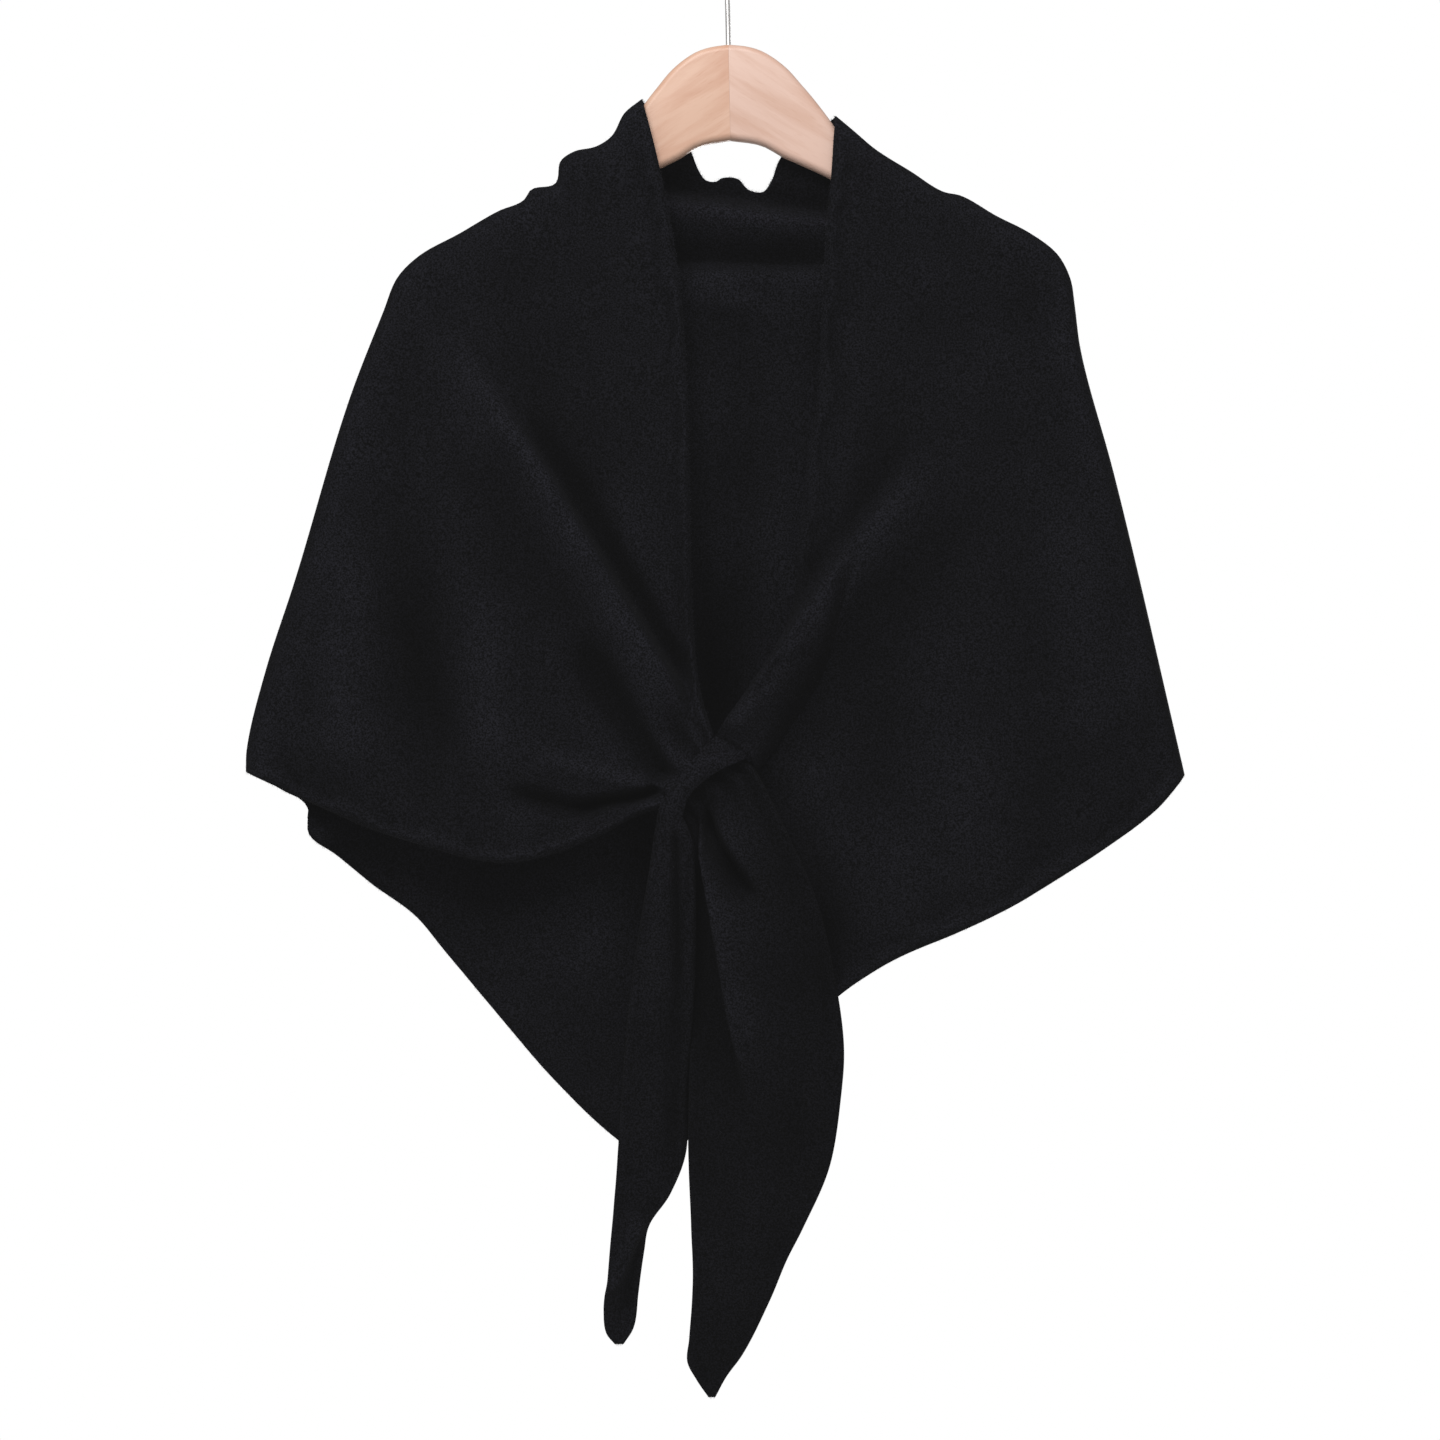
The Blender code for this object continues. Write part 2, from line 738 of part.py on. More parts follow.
def hanger_hook(material, parent):
    """The wire hook: a straight stem, an S-bend to the right, and an open ring over the top to the left."""
    ring = HOOK_INNER_RADIUS + WIRE_RADIUS
    centre_z = -HOOK_INNER_RADIUS
    route = [(0, STEM_FOOT_Z), (0, STEM_ENTRY_Z), (0, STEM_TOP_Z), (BEND_X, BEND_Z)]
    for degrees in range(RING_START_DEGREES, RING_END_DEGREES + 1, RING_STEP_DEGREES):
        angle = math.radians(degrees)
        route.append((ring * math.cos(angle), centre_z + ring * math.sin(angle)))
    smooth = Rail([Edge(x / MM, z / MM, 0) for x, z in route])
    curve = bpy.data.curves.new("hanger_hook", "CURVE")
    curve.dimensions = "3D"
    curve.bevel_depth = WIRE_RADIUS
    curve.bevel_resolution = 2
    curve.use_fill_caps = True
    line = curve.splines.new("POLY")
    line.points.add(WIRE_POINTS - 1)
    for i, point in enumerate(line.points):
        point.co = (*smooth.at(i / (WIRE_POINTS - 1)), 1)
    new_object("hanger_hook", curve, material, parent)


def mirrored(rows):
    """The same edge behind the hanger's middle plane."""
    return tuple(Edge(row.x, row.z, -row.y) for row in rows)


LEFT_RAIL = Rail(LEFT_SIDE, inset=HALF_WALL)
RIGHT_RAIL = Rail(RIGHT_SIDE, inset=-HALF_WALL)
LEFT_NECK_RAIL = Rail(LEFT_NECK)
RIGHT_NECK_RAIL = Rail(RIGHT_NECK)
LEFT_KNOT_RAIL = Rail(LEFT_KNOT)
RIGHT_KNOT_RAIL = Rail(RIGHT_KNOT)
LEFT_HEM_RAIL = Rail(LEFT_HEM)
RIGHT_HEM_RAIL = Rail(RIGHT_HEM)
BACK_LEFT_RAIL = Rail(mirrored(LEFT_SIDE), inset=HALF_WALL)
BACK_RIGHT_RAIL = Rail(mirrored(RIGHT_SIDE), inset=-HALF_WALL)
BACK_NECK_RAIL = Rail(BACK_NECK)
BACK_HEM_RAIL = Rail(BACK_HEM)
BAND_UPPER_RAIL = Rail(BAND_UPPER)
BAND_LOWER_RAIL = Rail(BAND_LOWER)


def hanger():
    """The wooden hanger and its hook, on an empty that leans them as the photograph shows."""
    beech = new_material("pale beech", (0.72, 0.52, 0.40), 0.45)
    steel = new_material("bright steel wire", (0.75, 0.75, 0.76), 0.2, metallic=1.0)
    tilt = bpy.data.objects.new("hanger_tilt", None)
    bpy.context.scene.collection.objects.link(tilt)
    tilt.rotation_euler = (0, -HANGER_TILT, 0)
    cutter = bore_cutter(beech, tilt)
    hanger_arm("hanger_left_arm", -1, cutter, beech, tilt)
    hanger_arm("hanger_right_arm", 1, cutter, beech, tilt)
    hanger_hook(steel, tilt)


def scarf():
    """The stretches of cloth that show, each a wall of its own."""
    wool = new_material("black fine wool knit", (0.010, 0.010, 0.010), 0.95)
    cloth_set = bpy.data.objects.new("scarf", None)
    bpy.context.scene.collection.objects.link(cloth_set)
    left_front = front_panel(
        LEFT_KNOT_RAIL, LEFT_RAIL, LEFT_NECK_RAIL, LEFT_HEM_RAIL, LEFT_FOLDS, LEFT_ROWS, True
    )
    right_front = front_panel(
        RIGHT_KNOT_RAIL, RIGHT_RAIL, RIGHT_NECK_RAIL, RIGHT_HEM_RAIL, RIGHT_FOLDS, RIGHT_ROWS, False
    )
    cloth("front_left", left_front, FRONT_GRID, wool, cloth_set, -1)
    cloth("front_right", right_front, FRONT_GRID, wool, cloth_set, -1)
    cloth("back_panel", back_place, BACK_GRID, wool, cloth_set, 1)
    cloth("band", band_place, BAND_GRID, wool, cloth_set)
    right_tail = tail(
        Rail(TAIL_RIGHT_INNER), Rail(TAIL_RIGHT_OUTER), TAIL_RIGHT_PLEATS, TAIL_RIGHT_BELLY, True
    )
    left_tail = tail(
        Rail(TAIL_LEFT_OUTER), Rail(TAIL_LEFT_INNER), TAIL_LEFT_PLEATS, TAIL_LEFT_BELLY, False
    )
    cloth("tail_right", right_tail, TAIL_RIGHT_GRID, wool, cloth_set)
    cloth("tail_left", left_tail, TAIL_LEFT_GRID, wool, cloth_set)


def main():
    """Clears the scene and builds the hanger and the scarf."""
    for old in list(bpy.data.objects):
        bpy.data.objects.remove(old, do_unlink=True)
    hanger()
    scarf()


main()
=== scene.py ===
"""Black knit triangle scarf on a beech hanger: its cloth, wood and wire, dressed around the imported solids.

Metres, +Z up, front towards -Y; tables in millimetres. The edges and main folds follow those of the solids,
with some points near the knot, at the neck and in the tails moved closer to the photograph.
"""

import logging
import math
from dataclasses import dataclass, field
from enum import Enum
from typing import NamedTuple, Sequence

import bmesh
import bpy
import numpy as np
from mathutils import Matrix, Vector

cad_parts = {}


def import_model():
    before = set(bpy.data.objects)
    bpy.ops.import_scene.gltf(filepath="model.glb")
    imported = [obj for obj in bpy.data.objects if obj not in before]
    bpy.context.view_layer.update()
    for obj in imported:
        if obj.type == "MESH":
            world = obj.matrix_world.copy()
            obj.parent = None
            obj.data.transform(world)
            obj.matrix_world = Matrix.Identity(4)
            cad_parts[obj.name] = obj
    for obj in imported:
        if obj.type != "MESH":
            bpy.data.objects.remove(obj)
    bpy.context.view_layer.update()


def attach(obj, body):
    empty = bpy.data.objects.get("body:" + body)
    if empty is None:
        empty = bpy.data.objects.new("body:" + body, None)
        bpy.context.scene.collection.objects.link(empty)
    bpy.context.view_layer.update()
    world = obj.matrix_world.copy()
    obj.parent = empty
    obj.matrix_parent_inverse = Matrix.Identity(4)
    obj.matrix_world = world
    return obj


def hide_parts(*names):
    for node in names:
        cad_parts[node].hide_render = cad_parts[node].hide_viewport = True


Array = np.ndarray
Material = bpy.types.Material
SceneObject = bpy.types.Object
Socket = bpy.types.NodeSocket

LOG = logging.getLogger("scarf")
MM = 0.001
TINY = 1e-12
TURN = 2 * math.pi
ROOT_BODY = "root"
# The mesh attribute of each stretch's relief, by which the knit's colour is painted with shade
RELIEF = "relief"

# Cloth forms that the scene shares with the solids
SIDE_CROWDING = 1.15
SIDE_CALM = 25 * MM
LEAST_DEPTH = 9 * MM
LEAST_DEPTH_EASE = 6 * MM
BAND_SHARE = 0.085

# How the fine grids crowd: the turned-in side's share of the columns, and the rows' pull to both edges
SIDE_ROLL_SHARE = 0.08
EDGE_PULL = 0.5

# The scale of a wave texture that has one band to a metre
ONE_BAND = 0.314

# A fibre's spike: its points, and how close to the X axis its way may come before the Y axis serves
SPIKE_POINTS = 4
NEARLY_ALONG = 0.8


class Slot(Enum):
    """The record's material slots."""

    WOOL = "wool"
    BEECH = "beech"
    WIRE = "wire"


class Hold(Enum):
    """How a stretch of cloth is held."""

    HUNG = "hung"
    GATHERED = "gathered"


def ease(value: Array) -> Array:
    """Steps smoothly from 0 at 0 to 1 at 1."""
    value = np.clip(value, 0, 1)
    return (3 - 2 * value) * value**2


def norms(vectors: Array) -> Array:
    """Measures the length of each vector."""
    return np.linalg.norm(vectors, axis=-1)


def linear(hex_colour: str) -> tuple[float, float, float, float]:
    """Turns an sRGB hex value to linear light.

    Args:
        hex_colour: Six hex digits after a hash.

    Returns:
        Red, green, blue and an alpha of 1.
    """
    channels = [int(hex_colour[i : i + 2], 16) / 255 for i in (1, 3, 5)]
    return (*(c / 12.92 if c <= 0.04045 else ((c + 0.055) / 1.055) ** 2.4 for c in channels), 1.0)


def feed(tree: bpy.types.NodeTree, node: bpy.types.Node, inputs: dict) -> None:
    """Feeds a node's inputs.

    Args:
        tree: The tree that it is in.
        node: The node.
        inputs: For each input, a value or the output that feeds it.
    """
    for socket, value in inputs.items():
        if isinstance(value, Socket):
            tree.links.new(value, node.inputs[socket])
        else:
            node.inputs[socket].default_value = value


def add_node(tree: bpy.types.NodeTree, kind: str, inputs: dict | None = None, **settings) -> bpy.types.Node:
    """Adds a node with its settings, values and links.

    Args:
        tree: The node tree that gets it.
        kind: Blender's name of the node type.
        inputs: For each input, a value or the output that feeds it.
        **settings: Properties of the node itself.

    Returns:
        The new node.
    """
    node = tree.nodes.new(kind)
    for name, value in settings.items():
        setattr(node, name, value)
    feed(tree, node, inputs or {})
    return node


def keep_mesh(bm: bmesh.types.BMesh, name: str) -> bpy.types.Mesh:
    """Turns a working mesh into a lasting one and frees it.

    Args:
        bm: The working mesh.
        name: The lasting one's name.

    Returns:
        The lasting mesh.
    """
    mesh = bpy.data.meshes.new(name)
    bm.to_mesh(mesh)
    bm.free()
    return mesh


def show(data: bpy.types.ID) -> SceneObject:
    """Puts data into the scene as an object of the same name.

    Args:
        data: A mesh, curve, light or camera.

    Returns:
        The object.
    """
    piece = bpy.data.objects.new(data.name, data)
    bpy.context.scene.collection.objects.link(piece)
    return piece


def place_in_frame(piece: SceneObject, node: str = "") -> SceneObject:
    """Tells the frame what a piece rides on, and the node that it replaces, if it does.

    Args:
        piece: The piece.
        node: The node.

    Returns:
        The same piece.
    """
    if node:
        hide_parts(node)
    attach(piece, ROOT_BODY)
    return piece


class Edge(NamedTuple):
    """A point of an edge in millimetres: across, up, and depth (front is negative)."""

    x: float
    z: float
    y: float = 0


def edge_rows(*rows: tuple[float, ...]) -> tuple[Edge, ...]:
    """Makes an edge of rows that give its points."""
    return tuple(Edge(*row) for row in rows)


class Fold(NamedTuple):
    """A straight ridge on a panel in millimetres seen from the front, or a trough if its height is negative.

    It runs from one place to another, with a flank on the left of that way and one on its right. The flanks
    are narrower at its start by the factor taper, and the height fades over the shares soft_start and
    soft_end of its length. A lean shifts the crest to the right by that share of its height, so that it
    hangs over its flank, and a power over 2 makes a flatter crest with steeper flanks.
    """

    from_x: float
    from_z: float
    to_x: float
    to_z: float
    left_flank: float
    right_flank: float
    height: float
    taper: float = 1.0
    soft_start: float = 0.3
    soft_end: float = 0.3
    lean: float = 0.0
    power: float = 2.0

    def lift(self, points: Array) -> Array:
        """Works out how the fold moves the cloth.

        Args:
            points: Places on the cloth, in metres.

        Returns:
            The move of each, in metres.
        """
        x, z = points[:, 0] / MM, points[:, 2] / MM
        way_x, way_z = self.to_x - self.from_x, self.to_z - self.from_z
        length = math.hypot(way_x, way_z)
        along = ((x - self.from_x) * way_x + (z - self.from_z) * way_z) / length**2
        leftward = ((z - self.from_z) * way_x - (x - self.from_x) * way_z) / length
        widening = self.taper + (1 - self.taper) * np.clip(along, 0, 1)
        flank = np.where(leftward > 0, self.left_flank, self.right_flank) * widening
        ends = ease(along / self.soft_start) * ease((1 - along) / self.soft_end)
        rise = self.height * ends * np.exp(-(np.abs(leftward / flank) ** self.power))
        shift = self.lean * rise / length
        return MM * np.column_stack([shift * way_z, -rise, -shift * way_x])


def fold_rows(*rows: tuple[float, ...]) -> tuple[Fold, ...]:
    """Makes folds of rows that give their fields."""
    return tuple(Fold(*row) for row in rows)


class NeckRoll(NamedTuple):
    """A roll of cloth across the inside of the back neck: its crest, its flanks, its height and its slope."""

    crest_z: float
    above: float
    below: float
    height: float
    slope: float


# Outline of a hanger arm from the middle out, above and below
BAR_TOP = edge_rows(
    (0, -78), (13.4, -79.8), (23.5, -83.4), (38.3, -94.2), (48.4, -105.8), (55.8, -114.8), (65.9, -128.4),
    (74, -140.2), (82, -149.3), (94, -158), (107.5, -166), (134.4, -181.0), (156, -192.8), (188, -211),
    (203, -220.5), (210, -228),
)
BAR_FOOT = edge_rows(
    (0, -142.2), (20.8, -145.9), (35.6, -154.3), (47, -159.6), (62.5, -167.2), (94, -186), (134, -208),
    (188, -234), (203, -240), (209, -237),
)

# Edges of the stretches of cloth
LEFT_SIDE = edge_rows(
    (-56.4, -115, -9), (-67.9, -124.4, -9), (-76.6, -139.8, -9), (-86.7, -146.5, -9),
    (-101.5, -149.9, -9.5), (-110.9, -156.6, -9.5), (-114.2, -171.4, -9.5), (-130.4, -175.4, -9.5),
    (-135.7, -182.8, -9), (-151.9, -189.6, -9), (-178.8, -205, -9), (-205.6, -219.8, -9),
    (-220.4, -234.6, -10), (-229.8, -257.4, -11), (-252.7, -316.6, -13), (-289, -437.5, -15),
    (-309, -499.3, -15), (-321.5, -551.8, -13), (-322, -566, -12),
)
RIGHT_SIDE = edge_rows(
    (73.4, -126.2, -9), (84.7, -135.6, -9), (100.1, -148.6, -9), (123.6, -163.3, -9), (145.2, -176.8, -9),
    (157.2, -179.5, -9), (180.8, -192.9, -9), (204.3, -205, -9), (222.4, -219.1, -9), (231.2, -235.9, -10),
    (233.9, -252.7, -11), (237.9, -283, -12), (259.5, -363.6, -14), (273.5, -420.7, -15),
    (294.5, -511.4, -15), (307.5, -568, -12),
)
LEFT_NECK = edge_rows(
    (-8, -544.3, -34), (-17.3, -513, -27), (-22.3, -465, -20), (-24, -411.6, -17), (-25.4, -331.3, -14),
    (-29.4, -257.6, -12), (-34.8, -214, -11), (-41.5, -177.1, -10), (-47.5, -150.2, -9.5),
    (-56.4, -115, -9),
)
RIGHT_NECK = edge_rows(
    (-6.7, -542.2, -40), (15.9, -511.7, -24), (42.7, -464.9, -16), (48.7, -411.4, -14), (54.7, -358, -14),
    (61.4, -317.9, -13), (64.1, -264.3, -12), (66.8, -210.7, -11), (70.9, -163.7, -10),
    (72.3, -140.1, -9.5), (73.4, -126.2, -9),
)
LEFT_KNOT = edge_rows(
    (-8, -544.3, -34), (-16, -556.5, -36.5), (-27.5, -573.5, -36.5), (-37, -588.5, -34),
)
RIGHT_KNOT = edge_rows(
    (-6.7, -542.2, -40), (4.5, -547.4, -43), (15.6, -555.6, -40), (18, -563, -32), (13, -575, -25),
    (2, -585, -23), (-12, -593, -23), (-22.5, -602, -23), (-25, -625, -22.5), (-25, -691.3, -22),
    (-25, -757.8, -22), (-24, -817.9, -20),
)
LEFT_HEM = edge_rows(
    (-37, -588.5, -34), (-57, -593.8, -30), (-83.6, -607.9, -28), (-113.6, -619.9, -26),
    (-143.4, -625.9, -26), (-170.2, -623.3, -24), (-196.9, -616.1, -22), (-237.2, -603.5, -19),
    (-272.4, -588.3, -15), (-295.3, -577.8, -13), (-322, -566, -12),
)
RIGHT_HEM = edge_rows(
    (-24, -817.9, -20), (-4, -794.6, -20), (22.6, -765.9, -20), (49.2, -738, -20), (74, -715.5, -21),
    (110.5, -691.5, -22), (157.5, -671, -23), (191.5, -654.5, -22), (218.5, -638.5, -21), (252, -617, -18),
    (286, -592, -14), (307.5, -568, -12),
)
BACK_NECK = edge_rows(
    (-56.4, -115, 9), (-41, -126, 11), (-25, -144.5, 14), (-18.4, -159.5, 15), (-14, -165.5, 15),
    (-6.9, -166.8, 14), (-2.7, -164.8, 13), (8.1, -165.3, 14), (15.5, -172, 15), (25.4, -173.3, 15),
    (31, -166, 15), (36.5, -152.4, 14), (51, -138.5, 11), (73.4, -126.2, 9),
)
BACK_HEM = edge_rows(
    (-322, -566, 12), (-298, -580, 16), (-285, -587, 19), (-281.5, -593, 20), (-281.5, -609, 20),
    (-263, -624, 22), (-239, -643.5, 22), (-210, -664.5, 20), (-190.5, -688, 20), (-156, -729, 20),
    (-115.5, -776, 20), (-73, -816, 18), (-44.7, -834, 18), (-17.6, -805, 18), (23.1, -762, 18),
    (74, -704, 20), (158.7, -652, 20), (219.8, -620, 20), (268, -594, 16), (307.5, -568, 12),
)
BAND_UPPER = edge_rows(
    (-9.2, -542.6, -41), (-23.7, -560.5, -45.5), (-38.8, -580.2, -46), (-44.1, -589.5, -45),
)
BAND_LOWER = edge_rows(
    (15.8, -557.6, -41), (-5.2, -565.1, -45.5), (-24.4, -581.5, -46), (-29, -595.4, -45),
)
TAIL_RIGHT_INNER = edge_rows(
    (-36.4, -589.3, -34), (-27.5, -598, -34), (-22.5, -607, -31), (-23, -626, -28), (-24.4, -682.9, -25),
    (-23.7, -755, -28), (-24.6, -813.8, -38), (-22.6, -864.7, -48), (-21.4, -898.8, -52),
    (-24, -938.6, -50), (-25.2, -953, -50), (-19.5, -964, -50), (-11.5, -976, -50),
)
TAIL_RIGHT_OUTER = edge_rows(
    (-7.4, -545.1, -34), (9.7, -555, -34.5), (18.1, -563.7, -35), (30.3, -586, -35.5), (42.2, -610.9, -36),
    (59.5, -650.4, -38), (73, -709.5, -42), (77.4, -748.6, -46), (75, -781.3, -48), (67.5, -825, -50),
    (50, -864.7, -52), (39.4, -885.7, -52), (29, -910.6, -52), (10.5, -947.7, -50), (-0.5, -963, -50),
    (-7.2, -976, -50),
)
TAIL_LEFT_OUTER = edge_rows(
    (-44.1, -589.5, -45), (-46.4, -603, -43.4), (-50.2, -630.4, -42), (-57.5, -673.4, -40),
    (-63.4, -716.4, -38), (-67.5, -762.9, -36), (-70.5, -806.1, -34), (-74.2, -857, -34),
    (-79.3, -905.9, -34), (-80.8, -921.8, -34), (-79, -937, -34), (-73.5, -944.5, -33),
)
TAIL_LEFT_INNER = edge_rows(
    (-29, -595.4, -45), (-25, -603, -45.5), (-21.5, -616, -44), (-20.5, -632, -42), (-20, -652, -40),
    (-21.5, -717, -32), (-26.8, -784, -24), (-26.8, -818, -25), (-37.5, -846, -28), (-51.5, -867, -29),
    (-54.6, -884, -29), (-58.4, -911, -30), (-61.6, -934, -31), (-68, -944.5, -32),
)

# Folds of each stretch: the main ones follow those of the solids, and the fine ones stand in the scene alone
LEFT_FOLDS = fold_rows(
    (-25, -543, -181, -277, 11, 6, 17, 1.9, 0.15, 0.35, 0.25, 3.0),
    (-140, -375, -196, -240, 24, 16, 7, 1, 0.3, 0.5), (-24, -512, -146, -308, 6, 11, -14, 0.7, 0.08, 0.5),
    (-37, -572, -106, -466, 20, 9, -14, 0.5, 0.05, 0.5),
    (-44, -577, -148, -552, 11, 12, 5.5, 0.5, 0.12, 0.45),
    (-231, -345, -186, -610, 28, 30, -11, 0.8, 0.55, 0.4), (-240, -380, -262, -580, 24, 22, 8, 1, 0.4, 0.2),
    (-172, -430, -150, -585, 22, 24, 8, 1, 0.5, 0.3),
    (-41, -577, -108, -592, 5.5, 4.5, -14, 0.65, 0.1, 0.3),
    (-78, -595, -156, -577, 8, 6.5, -10, 0.9, 0.3, 0.4), (-172, -270, -152, -318, 6, 5, -2.6, 1, 0.4, 0.4),
    (-101.5, -152, -106, -226, 3.2, 3.2, -2.8, 1.2, 0.1, 0.7),
    (-86, -146, -90, -205, 3.4, 3.0, -2.2, 1.2, 0.1, 0.7),
    (-114, -170, -121, -240, 4.0, 3.2, -2.4, 1.1, 0.1, 0.7),
    (-95, -150, -97, -232, 3.4, 3.8, 2.0, 1.1, 0.1, 0.7), (-136, -182, -141, -235, 4, 4, -1.8, 1, 0.1, 0.7),
    (-182, -588, -186, -566, 2.5, 2.5, 1.6, 1, 0.4, 0.4),
    (-176, -586, -172, -568, 2.5, 2.5, -1.4, 1, 0.4, 0.4),
    (-300, -470, -282, -575, 10, 8, 2.2, 1, 0.4, 0.3), (-250, -300, -262, -395, 14, 10, -1.8, 1, 0.5, 0.5),
    (-60, -350, -66, -470, 16, 14, 2.2, 1, 0.4, 0.4),
)
RIGHT_FOLDS = fold_rows(
    (-2, -544, 148, -338, 12, 22, 18, 0.8, 0.06, 0.35, -0.1, 2.4),
    (38, -564, 182, -368, 20, 28, -8, 0.8, 0.15, 0.4), (150, -335, 205, -262, 18, 18, 5, 1, 0.4, 0.5),
    (122, -455, 76, -640, 34, 36, -6, 1, 0.4, 0.4), (214, -345, 256, -560, 26, 24, 8, 1, 0.4, 0.2),
    (165, -520, 150, -660, 24, 24, 4, 1, 0.4, 0.2), (17, -520, 70, -446, 3.5, 3.5, -2.0, 0.8, 0.1, 0.5),
    (66, -250, 78, -330, 8, 6, -2.0, 1, 0.4, 0.5), (101, -245, 96, -285, 3, 3, -1.5, 1, 0.4, 0.5),
    (116, -240, 112, -288, 3, 3.5, 1.5, 1, 0.4, 0.5), (130, -248, 131, -282, 3, 3, -1.4, 1, 0.4, 0.5),
    (26, -566, 80, -718, 20, 22, -15, 0.7, 0.15, 0.35), (100, -570, 128, -690, 12, 16, 2.6, 1, 0.4, 0.2),
    (205, -520, 214, -640, 12, 12, -2.4, 1, 0.5, 0.2), (278, -440, 268, -575, 9, 10, 2.0, 1, 0.4, 0.3),
    (94, -155, 92, -215, 4, 3.6, -2.2, 1.1, 0.1, 0.7), (112, -163, 112, -235, 4, 4.4, -1.8, 1.1, 0.1, 0.7),
    (140, -180, 146, -235, 5, 4.0, -1.8, 1.1, 0.1, 0.7),
)
BACK_FOLDS = fold_rows(
    (-178, -235, -118, -700, 26, 26, 6, 0.8), (-108, -225, -72, -770, 22, 22, -5, 0.8),
    (22, -255, -32, -800, 24, 24, 6, 0.8), (112, -235, 42, -730, 24, 24, -5, 0.8),
    (178, -235, 132, -650, 26, 26, 6, 0.8), (-170, -215, -210, -430, 9, 12, 3.2, 0.7, 0.2, 0.5),
    (-140, -205, -128, -360, 7, 6, -2.6, 0.8, 0.2, 0.5), (-92, -190, -40, -330, 8, 12, 3.0, 0.6, 0.2, 0.5),
    (98, -190, 44, -345, 12, 8, 3.0, 0.6, 0.2, 0.5), (150, -205, 170, -380, 7, 7, -2.8, 0.8, 0.2, 0.5),
    (205, -225, 232, -420, 10, 8, 2.6, 0.8, 0.2, 0.5), (-60, -240, 60, -262, 9, 7, -2.2, 1, 0.4, 0.4),
    (-238, -470, -196, -640, 10, 14, -2.6, 1, 0.4, 0.3), (-52, -560, -46, -760, 9, 9, 2.4, 1, 0.4, 0.3),
    (96, -520, 70, -660, 12, 9, -2.6, 1, 0.4, 0.3), (232, -450, 196, -610, 12, 12, 2.8, 1, 0.4, 0.3),
    (14, -215, 6, -420, 34, 34, 3.5, 1, 0.3, 0.3), (14, -400, 0, -575, 20, 24, 9, 1, 0.5, 0.3),
    (-22, -300, -10, -570, 10, 9, 6, 0.8, 0.5, 0.3), (-168, -672, -52, -668, 60, 70, -8, 1, 0.4, 0.4),
    (-294, -592, -262, -612, 12, 12, -11, 1, 0.1, 0.35),
)
NECK_ROLLS = (
    NeckRoll(-177, 11, 5, -7, -0.14),
    NeckRoll(-191, 7, 17, 12, -0.12),
    NeckRoll(-221, 12, 4, -7, -0.02),
    NeckRoll(-233, 6, 28, 8, 0),
)
TAIL_RIGHT_FOLDS = fold_rows(
    (-17, -588, 21, -805, 42, 3.5, 21, 0.5, 0.16, 0.4, 0.3),
    (-15, -586, 25, -656, 3.5, 14, -27, 0.35, 0.25, 0.35), (2, -578, 48.6, -722, 18, 20, 4, 0.5, 0.1, 0.5),
    (-24, -640, 2, -790, 12, 16, -5, 1, 0.3, 0.4), (62, -655, 70, -770, 6, 6, -2, 1, 0.4, 0.5),
    (24, -800, 14, -930, 12, 9, 1.8, 1, 0.4, 0.4), (50, -740, 40, -860, 8, 10, -1.6, 1, 0.4, 0.4),
)
TAIL_LEFT_FOLDS = fold_rows(
    (-33, -600, -30.5, -735, 3.2, 4.0, -6, 0.8, 0.1, 0.4), (-44, -612, -52, -760, 9, 8, 3, 1, 0.2, 0.5),
    (-32, -690, -38, -850, 7, 6, -3.2, 1, 0.3, 0.4),
    (-54, -858, -77, -914, 2.5, 10, 4.5, 1, 0.15, 0.2, -0.3), (-54, -868, -70, -930, 9, 4, -4, 1, 0.2, 0.2),
)


class Rail:
    """A smooth curve through rows of points, read by the fraction of its length."""

    steps = 16

    def __init__(self, rows: Sequence[Edge], inset: float = 0.0) -> None:
        """Runs a curve through the rows.

        Args:
            rows: The points it passes through.
            inset: How far it moves to the left of its way, in metres.
        """
        points = np.array([(row.x, row.y, row.z) for row in rows]) * MM
        chords = norms(np.diff(points, axis=0))
        slopes = np.diff(points, axis=0) / chords[:, None]
        tangents = np.vstack([slopes[:1], (slopes[1:] + slopes[:-1]) / 2, slopes[-1:]])
        dense = []
        for i, chord in enumerate(chords):
            for f in np.arange(self.steps) / self.steps:
                hermite = (1 - f) ** 2 * (1 + 2 * f) * points[i] + f**2 * (3 - 2 * f) * points[i + 1]
                hermite += chord * f * (1 - f) * ((1 - f) * tangents[i] - f * tangents[i + 1])
                dense.append(hermite)
        self.points = np.array([*dense, points[-1]])
        if inset:
            ahead = np.gradient(self.points, axis=0)
            sideways = np.column_stack([-ahead[:, 2], np.zeros(len(ahead)), ahead[:, 0]])
            self.points += inset * sideways / norms(sideways)[:, None]
        lengths = norms(np.diff(self.points, axis=0))
        self.fractions = np.concatenate([[0], np.cumsum(lengths)]) / lengths.sum()

    def at(self, fraction: Array | float) -> Array:
        """Reads the curve.

        Args:
            fraction: Shares of its length.

        Returns:
            A point for each, in metres.
        """
        return np.stack([np.interp(fraction, self.fractions, self.points[:, i]) for i in range(3)], axis=-1)


class Rows(NamedTuple):
    """How the rows of a grid crowd towards the neck edge, so that one row follows the main ridge."""

    at_knot: float
    at_side: float

    def fraction(self, v: Array, s: Array | float) -> Array:
        """Gives the share of the cloth's length at rows v, at shares s of the way from knot to side."""
        pulled = v - EDGE_PULL * np.sin(TURN * v) / TURN
        return pulled ** (self.at_knot + (self.at_side - self.at_knot) * s)


LEFT_ROWS = Rows(2.0, 1.32)
RIGHT_ROWS = Rows(3.6, 1.21)
BACK_ROWS = Rows(LEFT_ROWS.at_side, RIGHT_ROWS.at_side)


